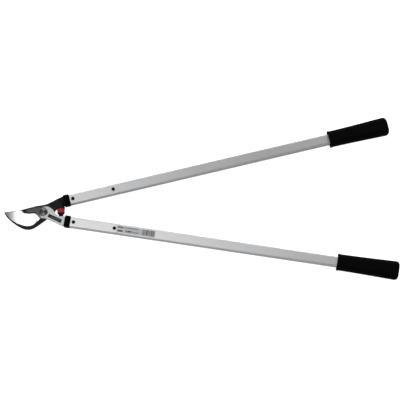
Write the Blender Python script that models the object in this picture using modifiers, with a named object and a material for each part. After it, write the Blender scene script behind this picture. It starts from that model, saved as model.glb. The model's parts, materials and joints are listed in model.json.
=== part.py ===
"""Bypass loppers: a wide cutting blade that shears past a hooked counter blade, on two long tube handles.

The tool lies flat and closed. Sizes are in millimetres and become metres through MM. The design is laid
out round the pivot: +X runs along the tool towards the grips, +Y to the upper handle, and +Z up along the
pivot bolt. The plane between the two blades is Z = 0. Everything that turns with the cutting blade hangs
on the empty "blade_axis", which stands on the pivot.
"""

import math

import bmesh
import bpy
from mathutils import Vector

MM = 0.001
GAP = 0.3                      # clearance between two pieces that touch

# The pivot's place over the middle of the tool's footprint, and the height of the blades' plane.
PIVOT_PLACE = (-358.26, -0.24, 15.0)

# Blades
BLADE_BOTTOM, BLADE_TOP = GAP / 2, 5.65
HOOK_BOTTOM, HOOK_TOP = -6.15, -GAP / 2
EDGE_HEIGHT = 0.35             # top of the cutting edge over the blades' plane
CUT_TOP = 25.0                 # a cutter's top, clear of everything it cuts
PAST_EDGE = 5.0                # how far the grinding cutter runs past the cutting edge
WALL_LEAN = 0.5                # lean of the wall above the ground face, across for each millimetre up
BOLT_RADIUS = 5.0
BUSH_RADIUS = 6.7

# Handles: each runs along a line through a point behind the pivot, turned half the spread to its side.
HANDLE_FOOT = (-72.65, 0.24)
HALF_SPREAD = math.radians(11.18)
COLLAR_START, TUBE_START = 122.2, 136.0
TANG_END, SLEEVE_END = 246.0, 250.0
GRIP_START, TUBE_END = 753.0, 881.0
RIVETS = {"front": 143.6, "rear": 238.8}
TUBE_WIDTH, TUBE_DEPTH, TUBE_CORNER, TUBE_WALL = 23.4, 18.0, 3.0, 1.6
COLLAR_WIDTH, COLLAR_DEPTH, COLLAR_CORNER = 25.8, 21.0, 3.0
COLLAR_OFFSET = 0.6            # both collars stand this far to +Y of their tubes
TANG_HALF = 8.0                # half the tang's width inside the tube
RIVET_SHANK, RIVET_HEAD, RIVET_RISE = 2.8, 4.1, 1.5

# Grips: half widths at stations along the handle
GRIP_HALF_DEPTH = 15.0
GRIP_CORNER = 11.0
END_SLOPE = 0.35               # how much the depth falls for each millimetre of the rounded end
GRIP_STATIONS = ((753.0, 18.8), (756.0, 19.2), (757.6, 18.2), (800.0, 18.7), (850.0, 20.0),
                 (886.0, 21.1), (891.5, 19.9), (894.2, 17.1), (895.0, 13.7))
GRIP_BODY_END = 886.0          # from here the grip rounds off to its end

# Pivot stack under the hook: lock plate, disc spring, nut
PLATE_DEPTH, SPRING_DEPTH, NUT_DEPTH = 1.2, 1.4, 4.6
SPRING_RADIUS, SPRING_DISH = 8.3, 0.4
NUT_FLATS = 17.0
BOLT_HEAD_RADIUS, BOLT_HEAD_RISE = 9.35, 3.0
LOCK_SCREW = (12.0, 12.0)

# Bumper, on an axis along Y
BUMPER_X, BUMPER_Z = 39.7, 1.0
LUG_Y, POCKET_Y = 6.6, 19.4
LUG_RADIUS = 7.0
POCKET_FLOOR = -4.2            # the nut's pocket is open only at the top
CUSHION_RADIUS, CUSHION_LOW, CUSHION_CHAMFER = 8.5, -4.0, 0.8
STOP_FACE_Y = -11.6
PLUNGER_HEAD_RADIUS, PLUNGER_SHANK, PLUNGER_END = 5.2, 2.5, 24.8
FLANGE_RADIUS, FLANGE_DEPTH = 7.8, 1.3
PLUNGER_NUT_FLATS, PLUNGER_NUT_DEPTH = 8.0, 4.0


def clear_scene():
    for item in list(bpy.data.objects):
        bpy.data.objects.remove(item, do_unlink=True)


def new_collection(name):
    group = bpy.data.collections.new(name)
    bpy.context.scene.collection.children.link(group)
    return group


clear_scene()
PARTS = new_collection("bypass_loppers")
CUTTERS = new_collection("cutters")


def metres(*values):
    return tuple(value * MM for value in values)


def empty(name, place=(0, 0, 0), turn=0.0, parent=None):
    """An empty that carries pieces: place in millimetres, turned about Z."""
    item = bpy.data.objects.new(name, None)
    PARTS.objects.link(item)
    item.location = metres(*place)
    item.rotation_euler = (0, 0, turn)
    item.parent = parent
    return item


def finish(name, colour, roughness, metallic=0.0):
    material = bpy.data.materials.new(name)
    material.use_nodes = True
    shader = material.node_tree.nodes["Principled BSDF"]
    shader.inputs["Base Color"].default_value = (*colour, 1.0)
    shader.inputs["Roughness"].default_value = roughness
    shader.inputs["Metallic"].default_value = metallic
    return material


def piece(name, mesh, parent, material, place=(0, 0, 0), turn=(0, 0, 0)):
    """A named sub-part made from a mesh, placed in millimetres under its parent."""
    item = bpy.data.objects.new(name, mesh)
    PARTS.objects.link(item)
    item.location = metres(*place)
    item.rotation_euler = turn
    item.parent = parent
    item.data.materials.append(material)
    return item


def as_mesh(curve):
    """The curve's evaluated shape as a mesh with its caps welded; the curve is removed."""
    bpy.context.view_layer.update()
    mesh = bpy.data.meshes.new_from_object(curve.evaluated_get(bpy.context.evaluated_depsgraph_get()))
    bpy.data.objects.remove(curve, do_unlink=True)
    work = bmesh.new()
    work.from_mesh(mesh)
    bmesh.ops.remove_doubles(work, verts=work.verts, dist=0.005 * MM)
    bmesh.ops.recalc_face_normals(work, faces=work.faces)
    work.to_mesh(mesh)
    work.free()
    return mesh


def slab(outlines, low, high, resolution=5):
    """A flat plate: each outline is a list of (x, y, is_corner), the first outside and the rest holes."""
    curve = bpy.data.curves.new("slab", "CURVE")
    curve.dimensions = "2D"
    curve.fill_mode = "BOTH"
    curve.extrude = (high - low) / 2 * MM
    curve.resolution_u = resolution
    for outline in outlines:
        spline = curve.splines.new("BEZIER")
        spline.bezier_points.add(len(outline) - 1)
        spline.use_cyclic_u = True
        for knot, (x, y, is_corner) in zip(spline.bezier_points, outline):
            knot.co = (x * MM, y * MM, 0)
            knot.handle_left_type = knot.handle_right_type = "VECTOR" if is_corner else "AUTO"
    holder = bpy.data.objects.new("slab", curve)
    CUTTERS.objects.link(holder)
    mesh = as_mesh(holder)
    for vertex in mesh.vertices:
        vertex.co.z += (high + low) / 2 * MM
    return mesh


def soft(*points):
    return [(x, y, False) for x, y in points]


def hard(*points):
    return [(x, y, True) for x, y in points]


def circle(x, y, radius, steps=32):
    angles = [2 * math.pi * k / steps for k in range(steps)]
    return hard(*((x + radius * math.cos(a), y + radius * math.sin(a)) for a in angles))


def hexagon(flats, turn=0.0):
    """Corner points of a hexagon, by the distance between its flats."""
    radius = flats / 2 / math.cos(math.pi / 6)
    angles = [math.pi / 3 * k + turn for k in range(6)]
    return hard(*((radius * math.cos(a), radius * math.sin(a)) for a in angles))


def rounded_rectangle(width, height, corner, steps=4, offset=0.0):
    """Corner points of a rounded rectangle round (offset, 0), anticlockwise."""
    points = []
    for quarter in range(4):
        sign_x = 1 if quarter in (0, 3) else -1
        sign_y = 1 if quarter in (0, 1) else -1
        for step in range(steps + 1):
            angle = math.pi / 2 * (quarter + step / steps)
            points.append((offset + sign_x * (width / 2 - corner) + corner * math.cos(angle),
                           sign_y * (height / 2 - corner) + corner * math.sin(angle)))
    return hard(*points)


def turned(name, profile, parent, material, place=(0, 0, 0), turn=(0, 0, 0), steps=32):
    """A turned piece: (radius, height) points, top to bottom on the outer side, spun about local Z."""
    mesh = bpy.data.meshes.new(name)
    points = [(radius * MM, 0, height * MM) for radius, height in profile]
    edges = [(k, k + 1) for k in range(len(points) - 1)]
    if profile[0][0] > 0:
        edges.append((len(points) - 1, 0))
    mesh.from_pydata(points, edges, [])
    item = piece(name, mesh, parent, material, place, turn)
    screw = item.modifiers.new("turn", "SCREW")
    screw.steps = screw.render_steps = steps
    screw.use_merge_vertices = True
    screw.merge_threshold = 0.00001
    screw.use_smooth_shade = True
    return item


def cutter(name, mesh, parent, place=(0, 0, 0), turn=(0, 0, 0)):
    item = bpy.data.objects.new(name, mesh)
    CUTTERS.objects.link(item)
    item.location = metres(*place)
    item.rotation_euler = turn
    item.parent = parent
    item.hide_render = True
    item.display_type = "WIRE"
    return item


def block(low, high):
    """A box mesh between two corners in millimetres."""
    work = bmesh.new()
    bmesh.ops.create_cube(work, size=1.0)
    middle = [(a + b) / 2 for a, b in zip(low, high)]
    size = [b - a for a, b in zip(low, high)]
    for vertex in work.verts:
        vertex.co = Vector([(m + s * c) * MM for m, s, c in zip(middle, size, vertex.co)])
    mesh = bpy.data.meshes.new("block")
    work.to_mesh(mesh)
    work.free()
    return mesh


def rod(radius, low, high, steps=24):
    """A cylinder mesh along local Z between two heights in millimetres."""
    return slab([circle(0, 0, radius, steps)], low, high)


def cut(item, tool, operation="DIFFERENCE"):
    change = item.modifiers.new(operation.lower(), "BOOLEAN")
    change.operation = operation
    change.solver = "EXACT"
    change.object = tool


def loft(rings):
    """A closed mesh through rings of equal point counts, given in millimetres, with flat ends."""
    work = bmesh.new()
    rows = [[work.verts.new(metres(*point)) for point in ring] for ring in rings]
    count = len(rows[0])
    for first, second in zip(rows, rows[1:]):
        for k in range(count):
            work.faces.new((first[k], first[(k + 1) % count], second[(k + 1) % count], second[k]))
    work.faces.new(reversed(rows[0]))
    work.faces.new(rows[-1])
    bmesh.ops.recalc_face_normals(work, faces=work.faces)
    mesh = bpy.data.meshes.new("loft")
    work.to_mesh(mesh)
    work.free()
    return mesh


def on_handle(side, along, across):
    """A point of a handle's line in the design's own axes: side is +1 for the upper handle, -1 the lower."""
    angle = side * HALF_SPREAD
    return (HANDLE_FOOT[0] + along * math.cos(angle) - across * math.sin(angle),
            HANDLE_FOOT[1] + along * math.sin(angle) + across * math.cos(angle))


ALONG_HANDLE = (math.pi / 2, 0, math.pi / 2)      # local X across, Y up, Z along the handle
PLUNGER_TURN = (math.pi / 2, 0, 0)                # local Z points to -Y

chrome = finish("polished_steel", (0.72, 0.72, 0.73), 0.18, 1.0)
black_steel = finish("black_steel", (0.02, 0.02, 0.021), 0.42, 0.4)
plated = finish("turned_steel", (0.55, 0.55, 0.56), 0.3, 1.0)
aluminium = finish("anodised_aluminium", (0.68, 0.69, 0.70), 0.38, 1.0)
black_plastic = finish("black_plastic", (0.012, 0.012, 0.013), 0.5)
rubber = finish("grip_rubber", (0.01, 0.01, 0.011), 0.7)
red = finish("red_cushion", (0.50, 0.02, 0.03), 0.42)
black_rivet = finish("black_rivet", (0.012, 0.012, 0.012), 0.4, 0.3)
bronze = finish("bush_bronze", (0.42, 0.27, 0.12), 0.35, 1.0)
label_black = finish("label_black", (0.015, 0.015, 0.02), 0.3)
label_film = finish("label_film", (0.78, 0.79, 0.80), 0.3)

base = empty("loppers_base", PIVOT_PLACE)
blade_axis = empty("blade_axis", parent=base)
plunger_axis = empty("plunger_axis", parent=base)
upper_line = empty("upper_handle_line", (*HANDLE_FOOT, 0), HALF_SPREAD, base)
lower_line = empty("lower_handle_line", (*HANDLE_FOOT, 0), -HALF_SPREAD, blade_axis)
HANDLES = (("upper", upper_line, HOOK_BOTTOM, HOOK_TOP), ("lower", lower_line, BLADE_BOTTOM, BLADE_TOP))


def tang_tail(side, outer, inner):
    """The tang's shoulder at the collar and its narrow tail inside the tube, from outer edge to inner."""
    shoulder = COLLAR_START - GAP
    corners = ((shoulder, outer), (shoulder, TANG_HALF), (TANG_END, TANG_HALF),
               (TANG_END, -TANG_HALF), (shoulder, -TANG_HALF), (shoulder, -inner))
    return hard(*(on_handle(side, along, side * across) for along, across in corners))


def drill_rivets(item, line, radius):
    for place, along in RIVETS.items():
        tool = cutter(f"{item.name}_{place}_drill", rod(radius, -20, 20), line, (along, 0, 0))
        cut(item, tool)


# ---- The cutting blade ----
def make_cutting_blade():
    edge = soft((-84.3, -4.6), (-70.5, -18.0), (-53.0, -28.0), (-36.5, -31.5), (-24.5, -28.2), (-15.3, -20.4))
    heel = hard((-9.0, -14.2)) + soft((2.1, -15.0)) + hard((8.2, -16.4))
    under = hard((-91.5, 4.1)) + edge + heel
    tail = tang_tail(-1, 12.4, 9.8)
    stop = hard((45.6, STOP_FACE_Y), (33.9, STOP_FACE_Y))
    hub = soft((31.0, -8.9), (26.6, -4.0), (24.4, 0.4), (20.3, 5.6), (14.8, 10.2), (9.1, 12.8), (2.6, 14.0))
    spine = soft((-6.0, 14.6), (-19.6, 13.8), (-31.1, 11.9), (-42.8, 9.2), (-52.1, 7.4), (-70.0, 5.9))
    outline = under + tail + stop + hub + spine
    mesh = slab([outline, circle(0, 0, BUSH_RADIUS + GAP)], BLADE_BOTTOM, BLADE_TOP)
    blade = piece("cutting_blade", mesh, blade_axis, chrome)
    drill_rivets(blade, lower_line, RIVET_SHANK + GAP)
    cut(blade, cutter("ground_face", ground_face(), blade_axis))
    return blade


def ground_face():
    """What is ground away: a wedge down to the cutting edge from the grind line.

    Each station has its shoulder (on the grind line, or past the spine near the tip), its point on the
    edge and the height at the shoulder. Where the shoulder lies under the blade's top, a low leaning wall
    is left above it.
    """
    stations = (((-97.0, 6.8), (-98.5, 1.2), 0.9), ((-91.4, 6.2), (-92.2, 2.6), 1.4),
                ((-83.4, 6.9), (-86.5, -2.2), 2.45), ((-69.5, 7.9), (-76.0, -13.8), 4.05),
                ((-60.0, 8.8), (-67.5, -20.2), 4.9), ((-54.0, 8.4), (-60.4, -24.6), 5.3),
                ((-47.0, 1.2), (-51.0, -28.7), 4.95), ((-40.0, -1.8), (-43.5, -30.7), 5.25),
                ((-31.8, -3.2), (-35.0, -31.4), 5.6), ((-24.0, -3.2), (-26.0, -29.0), 5.45),
                ((-18.6, -3.8), (-19.5, -24.6), 4.9), ((-13.5, -8.5), (-14.8, -20.0), 3.3),
                ((-7.6, -14.6), (-9.6, -19.0), 1.9))
    rings = []
    for shoulder, edge, height in stations:
        start, end = Vector(shoulder), Vector(edge)
        along = (end - start).normalized()
        slope = (height - EDGE_HEIGHT) / (end - start).length
        far = end + along * PAST_EDGE
        top = start - along * (CUT_TOP - height) * WALL_LEAN
        low_far = EDGE_HEIGHT - slope * PAST_EDGE
        rings.append(((*start, height), (*far, low_far), (*far, CUT_TOP), (*top, CUT_TOP)))
    return loft(rings)


# ---- The hooked counter blade with its bumper lug ----
def make_hook_blade():
    outer = soft((-86.0, -5.1), (-78.4, -13.8), (-67.3, -23.7), (-56.1, -31.3), (-48.0, -35.6),
                 (-38.0, -38.0), (-27.6, -36.8), (-15.8, -30.8), (-4.0, -22.8), (7.5, -14.6), (17.5, -6.0))
    lug = hard((25.2, 1.6)) + soft((27.2, 4.4)) + hard((30.0, LUG_Y), (48.0, LUG_Y), (48.4, 14.0))
    tail = tang_tail(1, 13.4, 10.6)
    back = soft((32.3, 31.9), (20.4, 26.1), (8.7, 20.9), (0.2, 18.7), (-8.0, 17.7), (-15.5, 16.9),
                (-22.5, 14.9), (-24.0, 10.0))
    throat = soft((-17.5, 4.0), (-14.5, -6.0), (-16.0, -14.0), (-22.0, -21.0), (-29.5, -25.6), (-38.0, -27.2),
                  (-49.0, -24.6), (-62.0, -18.3), (-75.0, -9.0), (-84.5, -0.6))
    outline = hard((-91.2, 3.0)) + outer + lug + list(reversed(tail)) + back + throat
    plate = slab([outline, circle(0, 0, BOLT_RADIUS + GAP)], HOOK_BOTTOM, HOOK_TOP)
    hook = piece("hook_blade", plate, base, black_steel)
    bumper_axis = (BUMPER_X, 0, BUMPER_Z)
    lug_boss = rod(LUG_RADIUS, 0.4 - POCKET_Y, -LUG_Y - 0.1, 32)
    cut(hook, cutter("lug_boss", lug_boss, base, bumper_axis, PLUNGER_TURN), "UNION")
    pocket = block((34.8, POCKET_Y, POCKET_FLOOR), (46.0, 28.2, CUT_TOP))
    cut(hook, cutter("nut_pocket", pocket, base))
    bore = rod(PLUNGER_SHANK + GAP, -30.0, -5.0)
    cut(hook, cutter("plunger_bore", bore, base, bumper_axis, PLUNGER_TURN))
    screw_hole = rod(1.9, -12.0, -1.6)
    cut(hook, cutter("lock_screw_hole", screw_hole, base, (*LOCK_SCREW, 0)))
    drill_rivets(hook, upper_line, RIVET_SHANK + GAP)
    return hook


# ---- Pivot: bolt, bush, lock plate, disc spring, nut, lock screw ----
def make_pivot():
    head_low = BLADE_TOP + GAP
    head_top = head_low + BOLT_HEAD_RISE
    bolt = ((0, head_top), (BOLT_HEAD_RADIUS - 1.0, head_top), (BOLT_HEAD_RADIUS, head_top - 0.9),
            (BOLT_HEAD_RADIUS, head_low), (BOLT_RADIUS, head_low), (BOLT_RADIUS, -PIVOT_PLACE[2]),
            (0, -PIVOT_PLACE[2]))
    turned("pivot_bolt", bolt, base, plated)
    bush = ((BUSH_RADIUS, BLADE_TOP), (BUSH_RADIUS, BLADE_BOTTOM), (BOLT_RADIUS + GAP, BLADE_BOTTOM),
            (BOLT_RADIUS + GAP, BLADE_TOP))
    turned("pivot_bush", bush, blade_axis, bronze)

    plate_top = HOOK_BOTTOM - GAP
    plate_low = plate_top - PLATE_DEPTH
    spring_top = plate_low - GAP
    spring_low = spring_top - SPRING_DEPTH
    nut_top = spring_low - GAP
    nut_low = nut_top - NUT_DEPTH
    distance = math.hypot(*LOCK_SCREW)
    outline = paddle(10.6, 5.0, distance, math.atan2(LOCK_SCREW[1], LOCK_SCREW[0]))
    holes = [circle(0, 0, BOLT_RADIUS + GAP), circle(*LOCK_SCREW, 1.9, 16)]
    plate = piece("nut_lock_plate", slab([outline, *holes], plate_low, plate_top), base, black_steel)
    flat = NUT_FLATS / 2 + GAP
    tab = block((-flat - PLATE_DEPTH, -3.5, nut_low + 1.5), (-flat, 3.5, plate_low + 0.4))
    cut(plate, cutter("lock_tab", tab, base), "UNION")

    spring = ((6.2, spring_top), (SPRING_RADIUS, spring_top - SPRING_DISH), (SPRING_RADIUS, spring_low),
              (BOLT_RADIUS + GAP, spring_low + SPRING_DISH), (BOLT_RADIUS + GAP, spring_top))
    turned("disc_spring", spring, base, plated)
    nut = slab([hexagon(NUT_FLATS, math.pi / 6), circle(0, 0, BOLT_RADIUS + GAP)], nut_low, nut_top)
    piece("pivot_nut", nut, base, plated)

    screw_top = plate_low - GAP
    screw = ((0, -2.0), (1.6, -2.0), (1.6, screw_top), (3.0, screw_top), (3.0, screw_top - 1.5),
             (2.4, screw_top - 2.1), (0, screw_top - 2.1))    # a 3.2 mm shank under a 6 mm head
    turned("lock_screw", screw, base, plated, (*LOCK_SCREW, 0), steps=20)


def paddle(large, small, distance, direction, steps=10):
    """The outline round a large circle at the origin and a small one at a distance: corner points."""
    lean = math.acos((large - small) / distance)
    points = []
    for step in range(2 * steps + 1):
        angle = direction + lean + (2 * math.pi - 2 * lean) * step / (2 * steps)
        points.append((large * math.cos(angle), large * math.sin(angle)))
    centre = (distance * math.cos(direction), distance * math.sin(direction))
    for step in range(steps + 1):
        angle = direction - lean + 2 * lean * step / steps
        points.append((centre[0] + small * math.cos(angle), centre[1] + small * math.sin(angle)))
    return hard(*points)


# ---- Bumper: cushion, plunger bolt and its nut ----
def make_bumper():
    place = (BUMPER_X, 0, BUMPER_Z)
    top = -(LUG_Y - GAP)
    low = -CUSHION_LOW
    bore = PLUNGER_SHANK + GAP
    cushion = ((CUSHION_RADIUS, low - CUSHION_CHAMFER), (CUSHION_RADIUS, top), (bore, top), (bore, low),
               (CUSHION_RADIUS - CUSHION_CHAMFER, low))
    turned("bumper_cushion", cushion, base, red, place, PLUNGER_TURN)
    head_low = -STOP_FACE_Y - GAP
    head_top = low + GAP
    plunger = ((0, head_low), (PLUNGER_HEAD_RADIUS - 0.6, head_low), (PLUNGER_HEAD_RADIUS, head_low - 0.6),
               (PLUNGER_HEAD_RADIUS, head_top + FLANGE_DEPTH), (FLANGE_RADIUS, head_top + FLANGE_DEPTH),
               (FLANGE_RADIUS, head_top), (PLUNGER_SHANK, head_top),
               (PLUNGER_SHANK, -PLUNGER_END), (0, -PLUNGER_END))
    turned("bumper_plunger", plunger, plunger_axis, black_plastic, place, PLUNGER_TURN, steps=24)
    nut_near = POCKET_Y + GAP
    nut = slab([hexagon(PLUNGER_NUT_FLATS), circle(0, 0, bore, 20)], -nut_near - PLUNGER_NUT_DEPTH, -nut_near)
    piece("plunger_nut", nut, plunger_axis, black_rivet, place, PLUNGER_TURN)


# ---- Handles ----
def make_tube(side_name, line):
    walls = 2 * TUBE_WALL
    outer = rounded_rectangle(TUBE_WIDTH, TUBE_DEPTH, TUBE_CORNER)
    inner = rounded_rectangle(TUBE_WIDTH - walls, TUBE_DEPTH - walls, TUBE_CORNER - TUBE_WALL)
    shape = slab([outer, inner], TUBE_START, TUBE_END)
    tube = piece(f"{side_name}_handle_tube", shape, line, aluminium, turn=ALONG_HANDLE)
    drill_rivets(tube, line, RIVET_SHANK + GAP)


def make_collar(side_name, line, tang_low, tang_high):
    """The moulded collar in front of the tube, one piece with the sleeve that wraps the tang inside it."""
    section = rounded_rectangle(COLLAR_WIDTH, COLLAR_DEPTH, COLLAR_CORNER, offset=COLLAR_OFFSET)
    flange = slab([section], COLLAR_START, TUBE_START - GAP)
    collar = piece(f"{side_name}_collar", flange, line, black_plastic, turn=ALONG_HANDLE)
    inset = 2 * (TUBE_WALL + GAP)
    sleeve = slab([rounded_rectangle(TUBE_WIDTH - inset, TUBE_DEPTH - inset, TUBE_CORNER - TUBE_WALL)],
                  TUBE_START - 4.0, SLEEVE_END)
    cut(collar, cutter(f"{side_name}_sleeve", sleeve, line, turn=ALONG_HANDLE), "UNION")
    half = TANG_HALF + GAP
    slot = block((COLLAR_START - 5, -half, tang_low - GAP), (SLEEVE_END + 5, half, tang_high + GAP))
    cut(collar, cutter(f"{side_name}_tang_slot", slot, line))
    drill_rivets(collar, line, RIVET_SHANK + GAP)


def make_rivets(side_name, line):
    face = TUBE_DEPTH / 2 + GAP
    crown = face + RIVET_RISE
    profile = ((0, crown), (RIVET_HEAD * 0.6, crown - 0.3), (RIVET_HEAD, face + 0.4), (RIVET_HEAD, face),
               (RIVET_SHANK, face), (RIVET_SHANK, -face), (RIVET_HEAD, -face), (RIVET_HEAD, -face - 0.4),
               (RIVET_HEAD * 0.6, 0.3 - crown), (0, -crown))
    for place, along in RIVETS.items():
        turned(f"{side_name}_{place}_rivet", profile, line, black_rivet, (along, 0, 0), steps=20)


def make_grip(side_name, line):
    rings = []
    for along, half_width in GRIP_STATIONS:
        half_depth = GRIP_HALF_DEPTH - max(0.0, along - GRIP_BODY_END) * END_SLOPE
        corner = min(GRIP_CORNER, half_width - 2)
        outline = rounded_rectangle(2 * half_width, 2 * half_depth, corner, 5)
        rings.append([(along, x, z) for x, z, _ in outline])
    grip = piece(f"{side_name}_grip", loft(rings), line, rubber)
    bore = slab([rounded_rectangle(TUBE_WIDTH + 2 * GAP, TUBE_DEPTH + 2 * GAP, TUBE_CORNER + GAP)],
                GRIP_START - 5, TUBE_END + GAP)
    cut(grip, cutter(f"{side_name}_grip_bore", bore, line, turn=ALONG_HANDLE))


# ---- Labels ----
def make_labels():
    plate = hard((12.4, -4.8), (9.2, -11.9), (38.6, -27.8), (42.0, -19.9))
    low = BLADE_TOP + GAP
    piece("blade_label", slab([plate], low, low + 0.3), blade_axis, label_black)
    low = TUBE_DEPTH / 2 + GAP
    strip = block((243.8, -8.3, low), (333.0, 7.1, low + 0.3))
    piece("handle_label", strip, lower_line, label_film)


make_cutting_blade()
make_hook_blade()
make_pivot()
make_bumper()
for handle, handle_line, low_face, high_face in HANDLES:
    make_tube(handle, handle_line)
    make_collar(handle, handle_line, low_face, high_face)
    make_rivets(handle, handle_line)
    make_grip(handle, handle_line)
make_labels()
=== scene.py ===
"""Bypass loppers, closed and lying flat: the finished meshes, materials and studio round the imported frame.

Every piece is designed in millimetres, either from the pivot or along a handle, and is then set into the
frame's metres by one matrix, so that its object stays at the origin.
"""

import json
import logging
import math
from collections.abc import Iterable, Sequence
from dataclasses import dataclass, field
from enum import Enum

import bmesh
import bpy
from mathutils import Matrix, Vector


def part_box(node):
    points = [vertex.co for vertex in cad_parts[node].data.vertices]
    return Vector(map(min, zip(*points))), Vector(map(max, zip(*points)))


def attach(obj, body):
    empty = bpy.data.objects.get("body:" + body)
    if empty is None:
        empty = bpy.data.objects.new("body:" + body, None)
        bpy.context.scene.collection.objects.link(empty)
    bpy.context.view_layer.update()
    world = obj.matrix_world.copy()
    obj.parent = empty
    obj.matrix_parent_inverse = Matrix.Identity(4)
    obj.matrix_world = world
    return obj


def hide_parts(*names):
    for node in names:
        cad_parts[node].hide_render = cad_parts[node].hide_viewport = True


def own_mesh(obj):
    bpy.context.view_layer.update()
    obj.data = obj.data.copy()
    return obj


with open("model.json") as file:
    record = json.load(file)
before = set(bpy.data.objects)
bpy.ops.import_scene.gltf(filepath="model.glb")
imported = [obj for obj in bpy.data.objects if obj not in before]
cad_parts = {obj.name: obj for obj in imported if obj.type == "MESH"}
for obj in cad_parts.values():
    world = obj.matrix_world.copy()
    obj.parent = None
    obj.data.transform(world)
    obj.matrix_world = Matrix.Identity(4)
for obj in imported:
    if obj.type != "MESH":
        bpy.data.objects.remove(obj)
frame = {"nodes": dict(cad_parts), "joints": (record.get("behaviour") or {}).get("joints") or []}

LOG = logging.getLogger("loppers")
MM = 0.001
GAP = 0.3  # clearance between neighbours, in millimetres

Point = tuple[float, float]
Knot = tuple[float, float, bool]
Ring = Sequence[tuple[float, float, float]]

RIVETS: Point = (143.6, 238.8)  # along each handle's line
HOOK_HEIGHTS: Point = (-6.15, -0.15)  # underside and top, from the pivot joint
BLADE_HEIGHTS: Point = (0.15, 5.65)
LOCK_SCREW: Point = (12.0, 12.0)  # from the pivot
LOCK_SCREW_HOLE = 1.9
STOP_LEDGE = -11.6  # where the cutting blade's tang meets the bumper, along Y from the pivot


class Side(Enum):
    """The two handles: the upper one belongs to the hook, the lower one to the cutting blade."""

    UPPER = "upper"
    LOWER = "lower"

    @property
    def body(self) -> str:
        """The frame's body that this handle turns with."""
        return "hook_side" if self is Side.UPPER else "blade_side"


class Operation(Enum):
    """How two closed meshes are combined."""

    CUT = "DIFFERENCE"
    JOIN = "UNION"
    SHARE = "INTERSECT"


# ---------------------------------------------------------------- places taken from the frame


@dataclass(frozen=True)
class Layout:
    """Where the design's own axes lie in the frame.

    Each matrix turns millimetres in a local design frame into the frame's metres.

    Attributes:
        pivot: The blades' axes, which start at the pivot joint.
        handles: Each handle's axes: X runs along its middle line, and the rivets stand at RIVETS.
    """

    pivot: Matrix
    handles: dict[Side, Matrix]

    @classmethod
    def from_frame(cls) -> "Layout":
        """Reads the pivot from its joint, and each handle's line from its two rivets.

        Returns:
            The layout.
        """
        joint = next(j for j in frame["joints"] if j["name"] == "blade_pivot")
        scale = Matrix.Scale(MM, 4)
        handles = {}
        for side in Side:
            front, rear = (middle_of(f"{side.value}_{place}_rivet") for place in ("front", "rear"))
            angle = math.atan2(rear.y - front.y, rear.x - front.x)
            turn = Matrix.Rotation(angle, 4, "Z")
            start = Matrix.Translation((-RIVETS[0] * MM, 0, 0))
            handles[side] = Matrix.Translation(front) @ turn @ start @ scale
        return cls(Matrix.Translation(joint["pos_m"]) @ scale, handles)


def middle_of(node: str) -> Vector:
    """The middle of a CAD node's box, in metres."""
    low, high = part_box(node)
    return (low + high) / 2


# ---------------------------------------------------------------- outlines


def soft(*points: Point) -> list[Knot]:
    """Outline points that the line passes smoothly."""
    return [(x, y, False) for x, y in points]


def hard(*points: Point) -> list[Knot]:
    """Outline points that are corners."""
    return [(x, y, True) for x, y in points]


def circle(x: float, y: float, radius: float, steps: int = 48) -> list[Knot]:
    """A round outline made of corners, for a hole or a disc."""
    angles = [2 * math.pi * k / steps for k in range(steps)]
    return hard(*((x + radius * math.cos(a), y + radius * math.sin(a)) for a in angles))


def polygon(corners: int, flats: float, turn: float = 0.0) -> list[Knot]:
    """A regular polygon round the origin.

    Args:
        corners: Number of corners.
        flats: Distance between opposite flats.
        turn: Angle of the first corner from X, in radians.

    Returns:
        The outline's corners.
    """
    radius = flats / 2 / math.cos(math.pi / corners)
    angles = [2 * math.pi * k / corners + turn for k in range(corners)]
    return hard(*((radius * math.cos(a), radius * math.sin(a)) for a in angles))


def rounded_rectangle(width: float, height: float, corner: float, steps: int = 8, offset: float = 0.0,
                      guard: float = 0.35) -> list[Point]:
    """A rounded rectangle, with a close pair of points where each flat begins.

    Args:
        width: Size along the first axis.
        height: Size along the second axis.
        corner: Radius of the corners.
        steps: Faces in each corner.
        offset: Where the middle lies along the first axis.
        guard: How far the extra points lie from the corners, which keeps the flats flat when shaded.

    Returns:
        The outline's points, anticlockwise.
    """
    points: list[Point] = []
    for quarter in range(4):
        sign_x = 1 if quarter in (0, 3) else -1
        sign_y = 1 if quarter in (0, 1) else -1
        centre = (offset + sign_x * (width / 2 - corner), sign_y * (height / 2 - corner))
        start, end = quarter * math.pi / 2, (quarter + 1) * math.pi / 2
        angles = [start + (end - start) * k / steps for k in range(steps + 1)]
        arc = [(centre[0] + corner * math.cos(a), centre[1] + corner * math.sin(a)) for a in angles]
        before = (arc[0][0] + guard * math.sin(start), arc[0][1] - guard * math.cos(start))
        after = (arc[-1][0] - guard * math.sin(end), arc[-1][1] + guard * math.cos(end))
        points += [before, *arc, after]
    return points


def paddle(large: float, small: float, distance: float, direction: float, steps: int = 16) -> list[Knot]:
    """The outline round a large circle at the origin and a small one beside it.

    Args:
        large: Radius of the circle at the origin.
        small: Radius of the other circle.
        distance: From the origin to the other circle.
        direction: Angle towards the other circle, in radians.
        steps: Half the faces round each end.

    Returns:
        The outline's corners.
    """
    lean = math.acos((large - small) / distance)
    centre = (distance * math.cos(direction), distance * math.sin(direction))
    points = []
    for k in range(2 * steps + 1):
        angle = direction + lean + (2 * math.pi - 2 * lean) * k / (2 * steps)
        points.append((large * math.cos(angle), large * math.sin(angle)))
    for k in range(steps + 1):
        angle = direction - lean + 2 * lean * k / steps
        points.append((centre[0] + small * math.cos(angle), centre[1] + small * math.sin(angle)))
    return hard(*points)


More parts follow.
